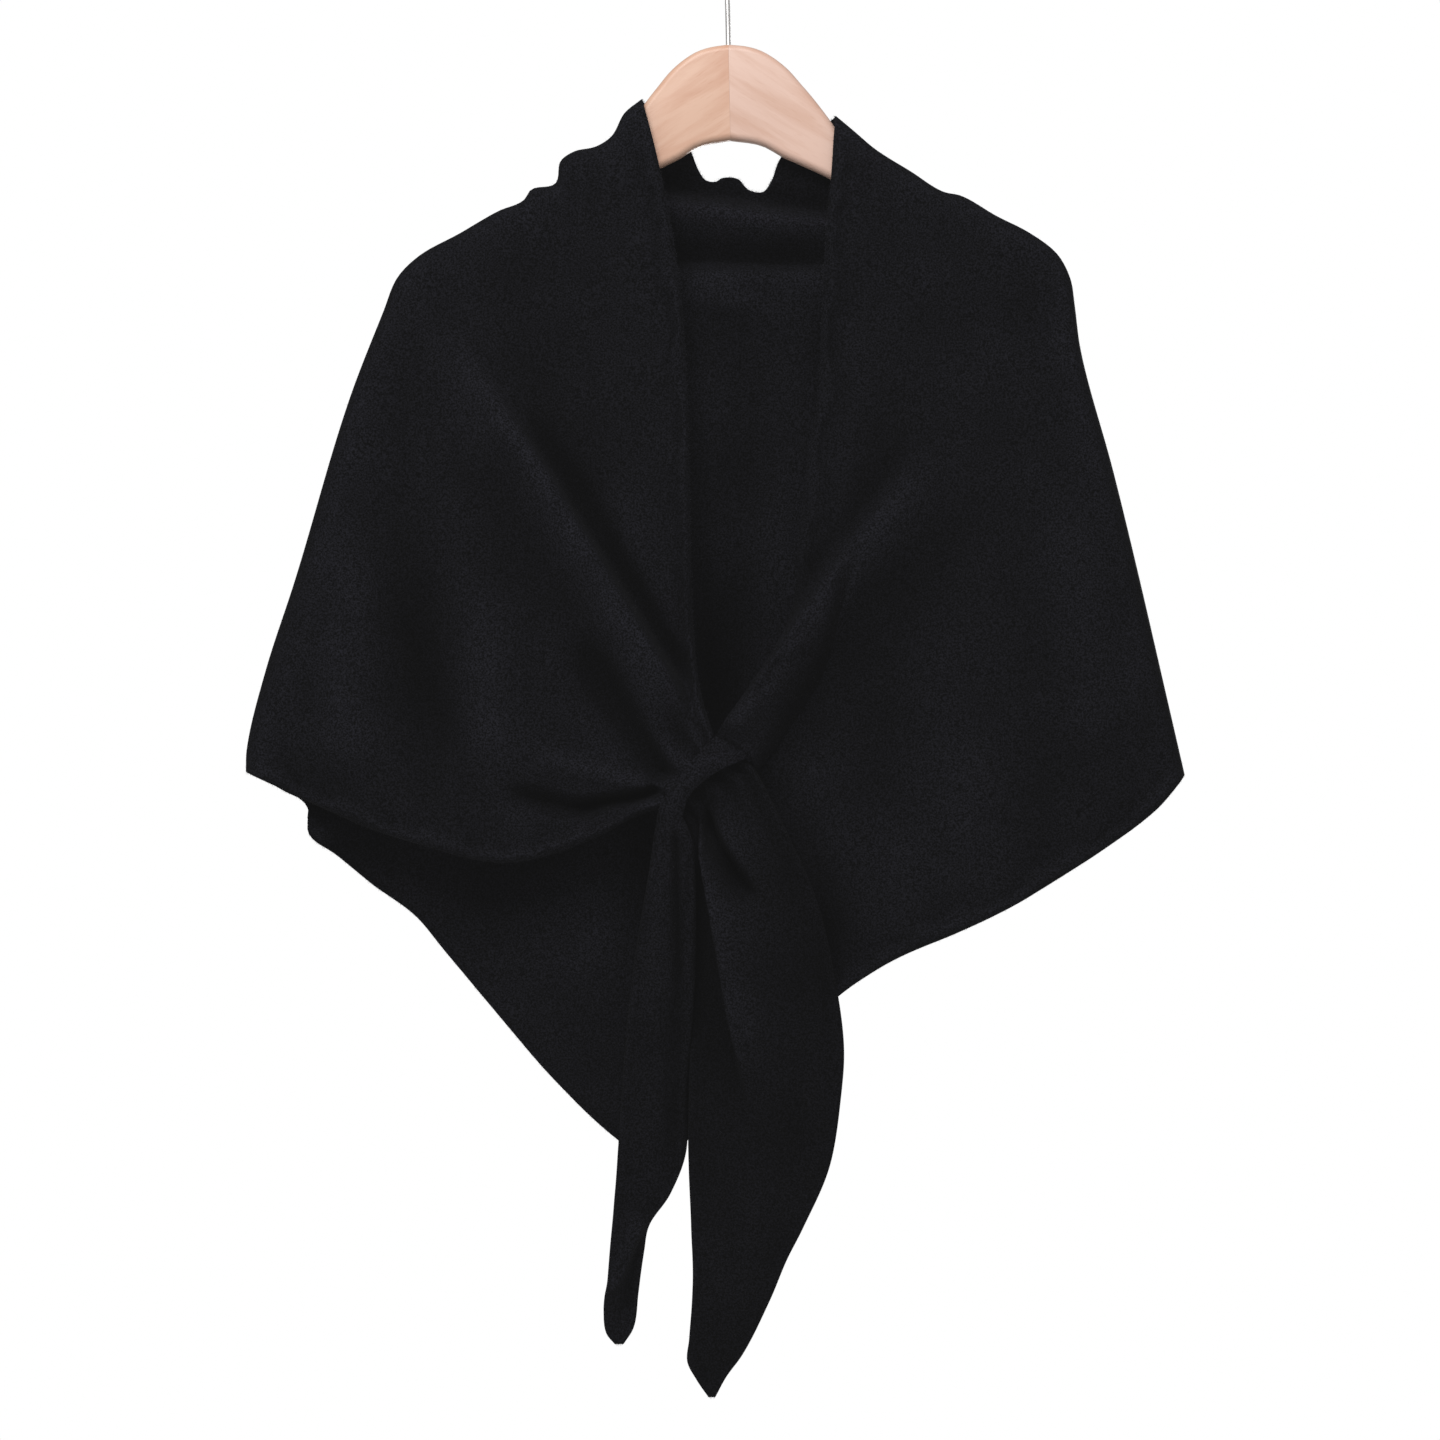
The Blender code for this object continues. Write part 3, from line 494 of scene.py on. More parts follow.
def coons(start: Rail, end: Rail, first: Rail, last: Rail, s: Array, t: Array) -> Array:
    """Places points on the patch between start and end, which run with t, and first and last.

    Args:
        start: The edge at s = 0.
        end: The edge at s = 1.
        first: The edge at t = 0.
        last: The edge at t = 1.
        s: Shares of the way from start to end.
        t: Shares of the way from first to last.

    Returns:
        A point for each pair, in metres.
    """
    s_, t_ = s[:, None], t[:, None]
    ruled = (1 - s_) * start.at(t) + s_ * end.at(t) + (1 - t_) * first.at(s) + t_ * last.at(s)
    corners = (1 - t_) * ((1 - s_) * start.at(0) + s_ * end.at(0))
    corners += t_ * ((1 - s_) * start.at(1) + s_ * end.at(1))
    return ruled - corners


def side_roll(u: Array, length: Array, radius: Array) -> tuple[Array, Array]:
    """Turns the cloth in at a side.

    Args:
        u: Fractions of the columns from the side.
        length: The cloth's width at each row.
        radius: The depth of the turned-in roll.

    Returns:
        The distance in from the side, and the share of the full depth.
    """
    angle = np.clip(u / SIDE_ROLL_SHARE, 0, 1) * math.pi / 2
    flat = np.clip((u - SIDE_ROLL_SHARE) / (1 - SIDE_ROLL_SHARE), 0, 1) ** SIDE_CROWDING
    return radius * (1 - np.cos(angle)) + (length - radius) * flat, np.sin(angle)


def kept_out(depth: Array, share: Array) -> Array:
    """Eases the depth of a front so that its valleys stay a share of LEAST_DEPTH off the middle plane."""
    over = depth - LEAST_DEPTH * share
    return depth + (np.hypot(over, LEAST_DEPTH_EASE * share) - over) / 2


def lifted(points: Array, folds: Sequence[Fold], calm: Array | float, front: int = 1) -> Array:
    """Raises the folds of a panel.

    Args:
        points: Places on the panel.
        folds: Its ridges and troughs.
        calm: The share of their height at each place.
        front: 1 where a ridge stands out to the front, -1 to the back.

    Returns:
        The moved places.
    """
    move = sum(fold.lift(points) for fold in folds)
    return points + np.reshape(calm, (-1, 1)) * move * (1, front, 1)


def smoothed(values: Array, reach: int, axis: int) -> Array:
    """Averages a grid's values with their neighbours along one axis, twice.

    Args:
        values: The grid.
        reach: How many neighbours on each side.
        axis: The axis.

    Returns:
        The smoothed grid.
    """
    margin = [(0, 0), (0, 0)]
    margin[axis] = (reach, reach)
    for _ in range(2):
        padded = np.pad(values, margin, mode="edge")
        windows = np.lib.stride_tricks.sliding_window_view(padded, 2 * reach + 1, axis=axis)
        values = windows.mean(axis=-1)
    return values


@dataclass
class Gathers:
    """The small pleats that the knot draws in, uneven as pulled cloth is."""

    count: float = 4.5
    height: float = 2.6 * MM
    reach: float = 0.3
    drift: float = 0.28
    fading: float = 1.5

    def depth(self, t: Array, away: Array) -> Array:
        """Gives their height.

        Args:
            t: Shares of the way down the gathered edge.
            away: Shares of the cloth's length away from it.

        Returns:
            The height at each place, in metres.
        """
        fade = np.clip(1 - away / self.reach, 0, 1) ** self.fading
        pleats = self.count * t + self.drift * np.sin(TURN * t)
        return self.height * fade * np.sin(TURN * pleats)


@dataclass
class EdgeCurl:
    """A plain self edge: the knit rolls over itself in a narrow cord, with a shallow groove beside it.

    The places and flanks of cord and groove, and the reach of the tuck, are shares of its wandering width.
    """

    width: float = 11 * MM
    height: float = 2.8 * MM
    tuck: float = 0.5 * MM
    groove: float = 0.9 * MM
    wander: float = 0.35
    wave: float = 90 * MM
    cord_at: float = 0.45
    cord_flank: float = 0.38
    groove_at: float = 1.25
    groove_flank: float = 0.3
    tuck_reach: float = 0.3
    uneven: float = 2.3

    def depth(self, distance: Array, along: Array) -> Array:
        """Gives how far the edge stands out.

        Args:
            distance: Distances in from the edge.
            along: Distances along it.

        Returns:
            The height at each place, in metres, below zero where it is tucked back.
        """
        turns = TURN * along / self.wave
        width = self.width * (1 + self.wander * np.sin(turns + np.sin(self.uneven * turns)))
        share = distance / width
        cord = self.height * np.exp(-(((share - self.cord_at) / self.cord_flank) ** 2))
        groove = self.groove * np.exp(-(((share - self.groove_at) / self.groove_flank) ** 2))
        return cord - groove - self.tuck * np.clip(1 - share / self.tuck_reach, 0, 1)


@dataclass
class Slack:
    """The slight unevenness of cloth that hangs: a few long soft waves, each at its own slant."""

    height: float = 0.9 * MM
    longest: float = 130 * MM
    waves: int = 9
    seed: int = 4
    slants: tuple[float, float] = (0.1, 1.3)
    shortening: float = 0.78
    fading: float = 0.8
    upright: float = 0.45

    def depth(self, points: Array) -> Array:
        """Works out the unevenness.

        Args:
            points: Places on the cloth.

        Returns:
            The height at each, in metres.
        """
        draw = np.random.default_rng(self.seed)
        total = np.zeros(len(points))
        for i in range(self.waves):
            slant, phase = draw.uniform(*self.slants), draw.uniform(0, TURN)
            along = points[:, 0] * math.cos(slant) * draw.choice((-1, 1))
            along += self.upright * points[:, 2] * math.sin(slant)
            length = self.longest * self.shortening**i
            total += np.sin(TURN * along / length + phase) * self.fading**i
        return self.height * total / 2


@dataclass
class ClothPiece:
    """One stretch of the scarf: a thin sheet of knit on the form of the solid that it replaces.

    Its flat size and area are those of its cut. Its relief, measured over relief_reach cells, is full where
    it stands out by relief_full; the knit paints shade by it, darker in hollows and lighter on crests. A bias
    moves it all towards crest or hollow, painting the whole stretch lighter above zero and darker below it.
    """

    node: str
    columns: int
    rows: int
    flat: tuple[float, float]
    cut_area: float
    hold: Hold
    rests_on: tuple[str, ...]
    thickness: float = 1.2 * MM
    slack: Slack = field(default_factory=Slack)
    relief_reach: int = 12
    relief_full: float = 4.5 * MM
    # Painted light above zero and painted shade below it, over the whole stretch
    painted_light_bias: float = 0

    def place(self, u: Array, v: Array) -> Array:
        """Places fractions of the columns and rows on the middle surface."""
        raise NotImplementedError

    def build(self, finish: Material) -> SceneObject:
        """Lays the sheet's grid, maps it by its own lengths and gives it its thickness.

        Args:
            finish: The knit.

        Returns:
            The finished piece.
        """
        bm = bmesh.new()
        bmesh.ops.create_grid(bm, x_segments=self.columns, y_segments=self.rows, size=0.5)
        mesh = keep_mesh(bm, f"knit_{self.node}")
        flat = np.empty(len(mesh.vertices) * 3)
        mesh.vertices.foreach_get("co", flat)
        u, v = flat.reshape(-1, 3)[:, :2].T + 0.5
        points = self.place(u, v)
        mesh.vertices.foreach_set("co", points.ravel())
        self.map_weave(mesh, u, v, points)
        mesh.materials.append(finish)
        mesh.shade_smooth()
        mesh.update()
        piece = show(mesh)
        wall = piece.modifiers.new("Thickness", "SOLIDIFY")
        wall.thickness = self.thickness
        wall.offset = 0
        return piece

    def map_weave(self, mesh: bpy.types.Mesh, u: Array, v: Array, points: Array) -> None:
        """Gives the mesh a UV map in metres, measured along its rows and down its columns, and its relief.

        The relief is how far a place stands out from the cloth around it, 1 on a crest and -1 in a hollow;
        the knit paints shade into its colour by it.

        Args:
            mesh: The placed grid.
            u: The fraction of the columns at each vertex.
            v: The fraction of the rows at each vertex.
            points: The place of each vertex.
        """
        column, row = np.rint(u * self.columns).astype(int), np.rint(v * self.rows).astype(int)
        lattice = np.empty((self.rows + 1, self.columns + 1, 3))
        lattice[row, column] = points
        self.lattice = lattice
        across = np.zeros(lattice.shape[:2])
        down = np.zeros(lattice.shape[:2])
        across[:, 1:] = np.cumsum(norms(np.diff(lattice, axis=1)), axis=1)
        down[1:] = np.cumsum(norms(np.diff(lattice, axis=0)), axis=0)
        place = np.column_stack([across[row, column], down[row, column]])
        corners = np.empty(len(mesh.loops), dtype=int)
        mesh.loops.foreach_get("vertex_index", corners)
        mesh.uv_layers.new(name="weave").uv.foreach_set("vector", place[corners].astype(np.float32).ravel())
        depth = lattice[:, :, 1]
        broad = smoothed(smoothed(depth, self.relief_reach, 0), self.relief_reach, 1)
        # Painted shade: the knit darkens hollows and lightens crests by this relief, shifted by the stretch's
        # bias
        relief = np.clip(self.painted_light_bias + (broad - depth) / self.relief_full, -1, 1)[row, column]
        mesh.attributes.new(RELIEF, "FLOAT", "POINT").data.foreach_set("value", relief.astype(np.float32))

    def declare(self, piece: SceneObject, nap: SceneObject) -> None:
        """Tells the frame what the piece replaces.

        Args:
            piece: The finished piece.
            nap: Its stray fibres; not used.
        """
        place_in_frame(piece, self.node)


@dataclass
class FrontPanel(ClothPiece):
    """A front, from the turned-in side to the knot and from the neck edge to the hem.

    The fields that end in start say over which share of the way from the knot a form sets in.
    """

    knot: Rail | None = None
    side: Rail | None = None
    neck: Rail | None = None
    hem: Rail | None = None
    folds: tuple[Fold, ...] = ()
    row_law: Rows = LEFT_ROWS
    gathers: Gathers | None = None
    neck_curl: EdgeCurl = field(default_factory=EdgeCurl)
    hem_curl: EdgeCurl = field(
        default_factory=lambda: EdgeCurl(width=9 * MM, height=3.6 * MM, tuck=0.3 * MM, groove=0.3 * MM)
    )
    neck_length: float = 0.5
    hem_length: float = 0.4
    neck_start: float = 0.06
    hem_start: float = 0.04
    slack_start: float = 0.15

    def place(self, u: Array, v: Array) -> Array:
        """Places the front: u from the side to the knot, v from the neck to the hem.

        Args:
            u: Fractions of the columns.
            v: Fractions of the rows.

        Returns:
            A point for each, in metres.
        """
        rim = self.side.at(self.row_law.fraction(v, 1))
        length = norms(self.knot.at(self.row_law.fraction(v, 0)) - rim)
        inward, share = side_roll(u, length, np.abs(rim[:, 1]))
        s = 1 - inward / length
        t = self.row_law.fraction(v, s)
        points = coons(self.knot, self.side, self.neck, self.hem, s, t)
        points[:, 1] *= share
        calm = share * np.clip(inward / SIDE_CALM, 0, 1)
        points = lifted(points, self.folds, calm)
        if self.gathers:
            points[:, 1] -= self.gathers.depth(t, s)
        points[:, 1] = -kept_out(-points[:, 1], share)
        drop = norms(self.hem.at(s) - self.neck.at(s))
        uneven = self.neck_curl.depth(t * drop, s * self.neck_length) * ease(s / self.neck_start)
        uneven += self.hem_curl.depth((1 - t) * drop, s * self.hem_length) * ease(s / self.hem_start)
        uneven += self.slack.depth(points) * ease(s / self.slack_start)
        points[:, 1] -= calm * uneven
        return points


@dataclass
class BackPanel(ClothPiece):
    """The middle of the scarf behind the hanger, with the rolls that its neck edge sags into."""

    left: Rail | None = None
    right: Rail | None = None
    neck: Rail | None = None
    hem: Rail | None = None
    folds: tuple[Fold, ...] = ()
    rolls: tuple[NeckRoll, ...] = ()
    rolls_middle: float = 9
    rolls_half_length: float = 75
    hem_length: float = 0.8
    curl: EdgeCurl = field(
        default_factory=lambda: EdgeCurl(width=6 * MM, height=1.6 * MM, groove=0.2 * MM, wave=80 * MM)
    )

    def place(self, u: Array, v: Array) -> Array:
        """Places the back: u from the left side to the right, v from the neck edge to the hem.

        Args:
            u: Fractions of the columns.
            v: Fractions of the rows.

        Returns:
            A point for each, in metres.
        """
        left = self.left.at(BACK_ROWS.fraction(v, 0))
        right = self.right.at(BACK_ROWS.fraction(v, 1))
        length = norms(right - left)
        from_side = 2 * np.minimum(u, 1 - u)
        radius = np.where(u < 0.5, left[:, 1], right[:, 1])
        inward, share = side_roll(from_side, length / 2, radius)
        s = np.where(u < 0.5, inward / length, 1 - inward / length)
        t = BACK_ROWS.fraction(v, s)
        points = coons(self.left, self.right, self.neck, self.hem, s, t)
        points[:, 1] *= share
        calm = share * np.clip(inward / SIDE_CALM, 0, 1)
        points = lifted(points, self.folds, calm, front=-1)
        across = points[:, 0] / MM - self.rolls_middle
        presence = np.exp(-((across / self.rolls_half_length) ** 4))
        for roll in self.rolls:
            offset = roll.crest_z + roll.slope * across - points[:, 2] / MM
            rise = np.exp(-((offset / np.where(offset < 0, roll.above, roll.below)) ** 2))
            points[:, 1] -= roll.height * MM * rise * presence
        drop = norms(self.hem.at(s) - self.neck.at(s))
        uneven = self.curl.depth((1 - t) * drop, s * self.hem_length)
        points[:, 1] += calm * (uneven + self.slack.depth(points) * ease(1 - presence))
        return points


@dataclass
class Tail(ClothPiece):
    """A tail that hangs from the knot, from its left edge to its right one.

    The fields that end in start or share say over which share of its length from the knot a form sets in.
    """

    left: Rail | None = None
    right: Rail | None = None
    folds: tuple[Fold, ...] = ()
    belly: float = 6 * MM
    root_belly: float = 0
    crown_start: float = 0.08
    head: Rail | None = None
    head_share: float = 0.06
    gathers: Gathers | None = None
    curl: EdgeCurl = field(
        default_factory=lambda: EdgeCurl(width=5 * MM, height=1.3 * MM, groove=0.2 * MM, wave=110 * MM)
    )
    folds_start: float = 0.04
    slack_start: float = 0.1
    slackness: float = 0.6
    length: float = 0.4
    curl_shift: float = 0.03
    plain_width: float = 30 * MM

    def place(self, u: Array, v: Array) -> Array:
        """Places the tail: u from its left edge to its right one, v down it.

        Args:
            u: Fractions of the columns.
            v: Fractions of the rows.

        Returns:
            A point for each, in metres.
        """
        left, right = self.left.at(v), self.right.at(v)
        points = (1 - u[:, None]) * left + u[:, None] * right
        crown = np.sin(math.pi * u) * np.sqrt(np.clip(1 - v, 0, 1))
        belly = self.root_belly + (self.belly - self.root_belly) * np.clip(v / self.crown_start, 0, 1)
        points[:, 1] -= belly * crown
        if self.head:
            blend = np.clip(1 - v / self.head_share, 0, 1)[:, None]
            points = (1 - blend) * points + blend * self.head.at(1 - u)
        points = lifted(points, self.folds, ease(v / self.folds_start))
        width, down = norms(right - left), v * self.length
        curls = self.curl.depth(u * width, down) + self.curl.depth((1 - u) * width, down + self.curl_shift)
        uneven = curls * ease(width / self.plain_width) + self.slackness * self.slack.depth(points)
        points[:, 1] -= ease(v / self.slack_start) * uneven
        if self.gathers:
            points[:, 1] -= self.gathers.depth(1 - u, v)
        return points


@dataclass
class Band(ClothPiece):
    """The bridge of cloth above the slit, drawn tight over the gathered bundle."""

    upper: Rail | None = None
    lower: Rail | None = None
    root: Rail | None = None
    crown: float = 2.5 * MM
    leaves: float = 0.3

    def place(self, u: Array, v: Array) -> Array:
        """Places the band: u from its upper edge to its lower one, v from the right front to the left tail.

        Args:
            u: Fractions of the columns.
            v: Fractions of the rows.

        Returns:
            A point for each, in metres.
        """
        points = (1 - u[:, None]) * self.upper.at(v) + u[:, None] * self.lower.at(v)
        points[:, 1] -= self.crown * np.sin(math.pi * u) * np.clip(v / self.leaves, 0, 1)
        blend = np.clip(1 - v / self.leaves, 0, 1)[:, None]
        return (1 - blend) * points + blend * self.root.at(u * BAND_SHARE)


@dataclass
class Nap:
    """Stray fibres on both faces of the knit and along its edges, each a thin three-sided spike."""

    seed: int
    shortest: float = 0.9 * MM
    longest: float = 2.6 * MM
    root_radius: float = 0.055 * MM
    lie: float = 0.9
    edge_lie: float = 0.45
    edge_share: float = 0.25
    per_area: float = 42000

    def strew(self, stretch: ClothPiece, finish: Material) -> SceneObject:
        """Strews the fibres of one stretch of cloth.

        Args:
            stretch: The cloth, already built.
            finish: Their material.

        Returns:
            All its fibres as one piece.
        """
        draw = np.random.default_rng(self.seed)
        lattice = stretch.lattice
        corners = lattice[:-1, :-1]
        across = (lattice[:-1, 1:] - corners).reshape(-1, 3)
        down = (lattice[1:, :-1] - corners).reshape(-1, 3)
        normal = np.cross(across, down)
        area = norms(normal)
        normal /= area[:, None] + TINY
        count = int(self.per_area * area.sum())
        cells = draw.choice(len(area), count, p=area / area.sum())
        shift = draw.uniform(0, 1, (count, 2))
        face = draw.choice((-1.0, 1.0), count)[:, None] * normal[cells]
        roots = corners.reshape(-1, 3)[cells] + shift[:, :1] * across[cells] + shift[:, 1:] * down[cells]
        roots += face * (stretch.thickness / 2 - self.root_radius)
        ways = face + draw.normal(0, self.lie, (count, 3))
        edge_roots, edge_ways = self.edges(lattice, int(self.edge_share * count), draw)
        roots, ways = np.vstack([roots, edge_roots]), np.vstack([ways, edge_ways])
        ways /= norms(ways)[:, None]
        lengths = draw.uniform(self.shortest, self.longest, len(roots))
        piece = spikes(f"nap_{stretch.node}", roots, ways, lengths, self.root_radius, finish)
        return place_in_frame(piece)

    def edges(self, lattice: Array, count: int, draw: np.random.Generator) -> tuple[Array, Array]:
        """Places fibres along the upper and lower edges.

        Args:
            lattice: The sheet's points by row and column.
            count: How many.
            draw: The source of chance.

        Returns:
            Their roots and their ways.
        """
        top, foot = lattice[0], lattice[-1]
        outward = np.vstack([top[:-1] - lattice[1, :-1], foot[:-1] - lattice[-2, :-1]])
        runs = np.vstack([top[1:] - top[:-1], foot[1:] - foot[:-1]])
        starts = np.vstack([top[:-1], foot[:-1]])
        lengths = norms(runs)
        picks = draw.choice(len(runs), count, p=lengths / lengths.sum())
        roots = starts[picks] + draw.uniform(0, 1, (count, 1)) * runs[picks]
        ways = outward[picks] / (norms(outward[picks])[:, None] + TINY)
        return roots, ways + draw.normal(0, self.edge_lie, (count, 3))


def spikes(
    name: str, roots: Array, ways: Array, lengths: Array, radius: float, finish: Material
) -> SceneObject:
    """Joins many thin closed spikes into one piece.

    Args:
        name: The piece's name.
        roots: Where each stands.
        ways: The unit direction of each.
        lengths: The length of each.
        radius: The radius of their feet.
        finish: Their material.

    Returns:
        The piece.
    """
    helper = np.where(np.abs(ways[:, :1]) < NEARLY_ALONG, (1.0, 0, 0), (0, 1.0, 0))
    side = np.cross(ways, helper)
    side /= norms(side)[:, None]
    other = np.cross(ways, side)
    feet = [
        roots + radius * (math.cos(turn) * side + math.sin(turn) * other)
        for turn in (0, TURN / 3, 2 * TURN / 3)
    ]
    points = np.stack([*feet, roots + lengths[:, None] * ways], axis=1).reshape(-1, 3)
    first = SPIKE_POINTS * np.arange(len(roots))[:, None, None]
    faces = (first + np.array([(0, 1, 3), (1, 2, 3), (2, 0, 3), (2, 1, 0)])).reshape(-1, 3)
    mesh = bpy.data.meshes.new(name)
    mesh.from_pydata(points.tolist(), [], faces.tolist())
    mesh.materials.append(finish)
    return show(mesh)


@dataclass
class Hanger:
    """The arched beech hanger in two halves, and its bent wire hook."""

    tilt: float = math.radians(1.2)
    thickness: float = 12 * MM
    edge_round: float = 4.5 * MM
    top_points: int = 70
    foot_points: int = 40
    joint_gap: float = 0.06 * MM
    wire_radius: float = 1.7 * MM
    wire_clearance: float = 0.3 * MM
    wire_points: int = 150
    ring_radius: float = 18 * MM
    ring_degrees: tuple[int, int, int] = (-50, 201, 10)
    stem: tuple[tuple[float, float], ...] = (
        (0, -104 * MM),
        (0, -76 * MM),
        (0, -52 * MM),
        (0, -48 * MM),
        (2 * MM, -41.5 * MM),
    )
    bore_depth: float = 46 * MM

    def turn(self) -> Matrix:
        """Gives the hanger's tilt about the hook's crown."""
        return Matrix.Rotation(-self.tilt, 3, "Y")

    def arm(self, side: int, finish: Material) -> SceneObject:
        """Builds one half.

        Args:
            side: 1 for the right half, -1 for the left.
            finish: Its wood.

        Returns:
            The piece.
        """
        top = Rail(BAR_TOP).at(np.linspace(0, 1, self.top_points))
        foot = Rail(BAR_FOOT).at(np.linspace(1, 0, self.foot_points))
        bm = bmesh.new()
        corners = [
            bm.verts.new((side * max(x, self.joint_gap / 2), -self.thickness / 2, z))
            for x, _, z in (*top, *foot)
        ]
        face = bm.faces.new(corners)
        moved = bmesh.ops.extrude_face_region(bm, geom=[face])
        pushed = [item for item in moved["geom"] if isinstance(item, bmesh.types.BMVert)]
        bmesh.ops.translate(bm, verts=pushed, vec=(0, self.thickness, 0))
        rim = [
            edge
            for edge in bm.edges
            if abs(edge.verts[0].co.y - edge.verts[1].co.y) < MM
            and max(abs(vertex.co.x) for vertex in edge.verts) > MM
        ]
        bmesh.ops.bevel(
            bm, geom=rim, offset=self.edge_round, segments=8, profile=0.5, affect="EDGES", material=-1
        )
        bmesh.ops.recalc_face_normals(bm, faces=bm.faces)
        bmesh.ops.rotate(bm, verts=bm.verts, cent=(0, 0, 0), matrix=self.turn())
        node = "hanger_right_arm" if side > 0 else "hanger_left_arm"
        mesh = keep_mesh(bm, f"fine_{node}")
        mesh.materials.append(finish)
        arm = place_in_frame(show(mesh), node)
        self.drill(arm)
        arm.data.shade_smooth()
        arm.data.set_sharp_from_angle(angle=math.radians(40))
        return arm

    def drill(self, arm: SceneObject) -> None:
        """Drills an arm for the hook's stem.

        Args:
            arm: The arm.
        """
        bm = bmesh.new()
        radius = self.wire_radius + self.wire_clearance
        bmesh.ops.create_cone(
            bm, cap_ends=True, segments=24, radius1=radius, radius2=radius, depth=self.bore_depth
        )
        foot = self.stem[0][1] - self.wire_clearance
        bmesh.ops.translate(bm, verts=bm.verts, vec=(0, 0, foot + self.bore_depth / 2))
        bmesh.ops.rotate(bm, verts=bm.verts, cent=(0, 0, 0), matrix=self.turn())
        mesh = keep_mesh(bm, "drill")
        cutter = show(mesh)
        bore = arm.modifiers.new("Bore", "BOOLEAN")
        bore.operation = "DIFFERENCE"
        bore.object = cutter
        bpy.context.view_layer.update()
        drilled = bpy.data.meshes.new_from_object(arm.evaluated_get(bpy.context.evaluated_depsgraph_get()))
        arm.modifiers.clear()
        plain = arm.data
        arm.data = drilled
        drilled.name = arm.name
        bpy.data.meshes.remove(plain)
        bpy.data.objects.remove(cutter)
        bpy.data.meshes.remove(mesh)

    def hook(self, finish: Material) -> SceneObject:
        """Bends the wire: a straight stem, an S-bend to the right, and an open ring over the top to the left.

        Args:
            finish: Its metal.

        Returns:
            The piece.
        """
        ring = self.ring_radius + self.wire_radius
        route = list(self.stem)
        for degrees in range(*self.ring_degrees):
            angle = math.radians(degrees)
            route.append((ring * math.cos(angle), ring * math.sin(angle) - self.ring_radius))
        line = Rail([Edge(x / MM, z / MM) for x, z in route]).at(np.linspace(0, 1, self.wire_points))
        curve = bpy.data.curves.new("fine_hanger_hook", "CURVE")
        curve.dimensions = "3D"
        curve.bevel_depth = self.wire_radius
        curve.bevel_resolution = 5
        curve.use_fill_caps = True
        spline = curve.splines.new("POLY")
        spline.points.add(len(line) - 1)
        for point, place in zip(spline.points, line):
            point.co = (*(self.turn() @ Vector(place)), 1)
        curve.materials.append(finish)
        return place_in_frame(show(curve), "hanger_hook")


class Graph:
    """A material in the making: its node tree, its Principled shader and short ways to add nodes."""

    def __init__(self, name: str) -> None:
        """Starts the material.

        Args:
            name: The finish's name.
        """
        self.material = bpy.data.materials.new(name)
        self.material.use_nodes = True
        self.tree = self.material.node_tree
        self.shader = self.tree.nodes["Principled BSDF"]

    def where(self, kind: str = "Object") -> Socket:
        """Adds texture coordinates of that kind."""
        return add_node(self.tree, "ShaderNodeTexCoord").outputs[kind]

    def noise(self, vector: Socket, grain: float, **more: float) -> Socket:
        """Adds noise.

        Args:
            vector: Its coordinates.
            grain: The size of its grain in metres.
            **more: Its other inputs.

        Returns:
            Its value.
        """
        inputs = {"Vector": vector, "Scale": 1 / grain, **more}
        return add_node(self.tree, "ShaderNodeTexNoise", inputs).outputs["Fac"]

    def spread(
        self, value: Socket, low: float, high: float, to_low: float = 0.0, to_high: float = 1.0
    ) -> Socket:
        """Maps a range of values to another one, cut off at both ends.

        Args:
            value: The values.
            low: Where the range starts.
            high: Where it ends.
            to_low: What its start becomes.
            to_high: What its end becomes.

        Returns:
            The mapped values.
        """
        inputs = {"Value": value, "From Min": low, "From Max": high, "To Min": to_low, "To Max": to_high}
        return add_node(self.tree, "ShaderNodeMapRange", inputs).outputs["Result"]

    def maths(self, operation: str, *values: Socket | float, **settings: bool) -> Socket:
        """Works out a sum.

        Args:
            operation: Blender's name of its kind.
            *values: The numbers that go into it.
            **settings: Properties of the node.

        Returns:
            The result.
        """
        inputs = dict(enumerate(values))
        return add_node(self.tree, "ShaderNodeMath", inputs, operation=operation, **settings).outputs["Value"]

    def mix(self, factor: Socket, first: str, second: str) -> Socket:
        """Mixes two sRGB hex colours by a factor, 0 for the first and 1 for the second."""
        inputs = {"Factor": factor, 6: linear(first), 7: linear(second)}
        return add_node(self.tree, "ShaderNodeMix", inputs, data_type="RGBA").outputs[2]

    def bump(self, height: Socket, distance: float, strength: float) -> Socket:
        """Turns a height, of that distance in metres and strength, to a normal."""
        inputs = {"Height": height, "Distance": distance, "Strength": strength}
        return add_node(self.tree, "ShaderNodeBump", inputs).outputs["Normal"]

    def finish(self, inputs: dict) -> Material:
        """Feeds the shader's inputs and gives the material."""
        feed(self.tree, self.shader, inputs)
        return self.material


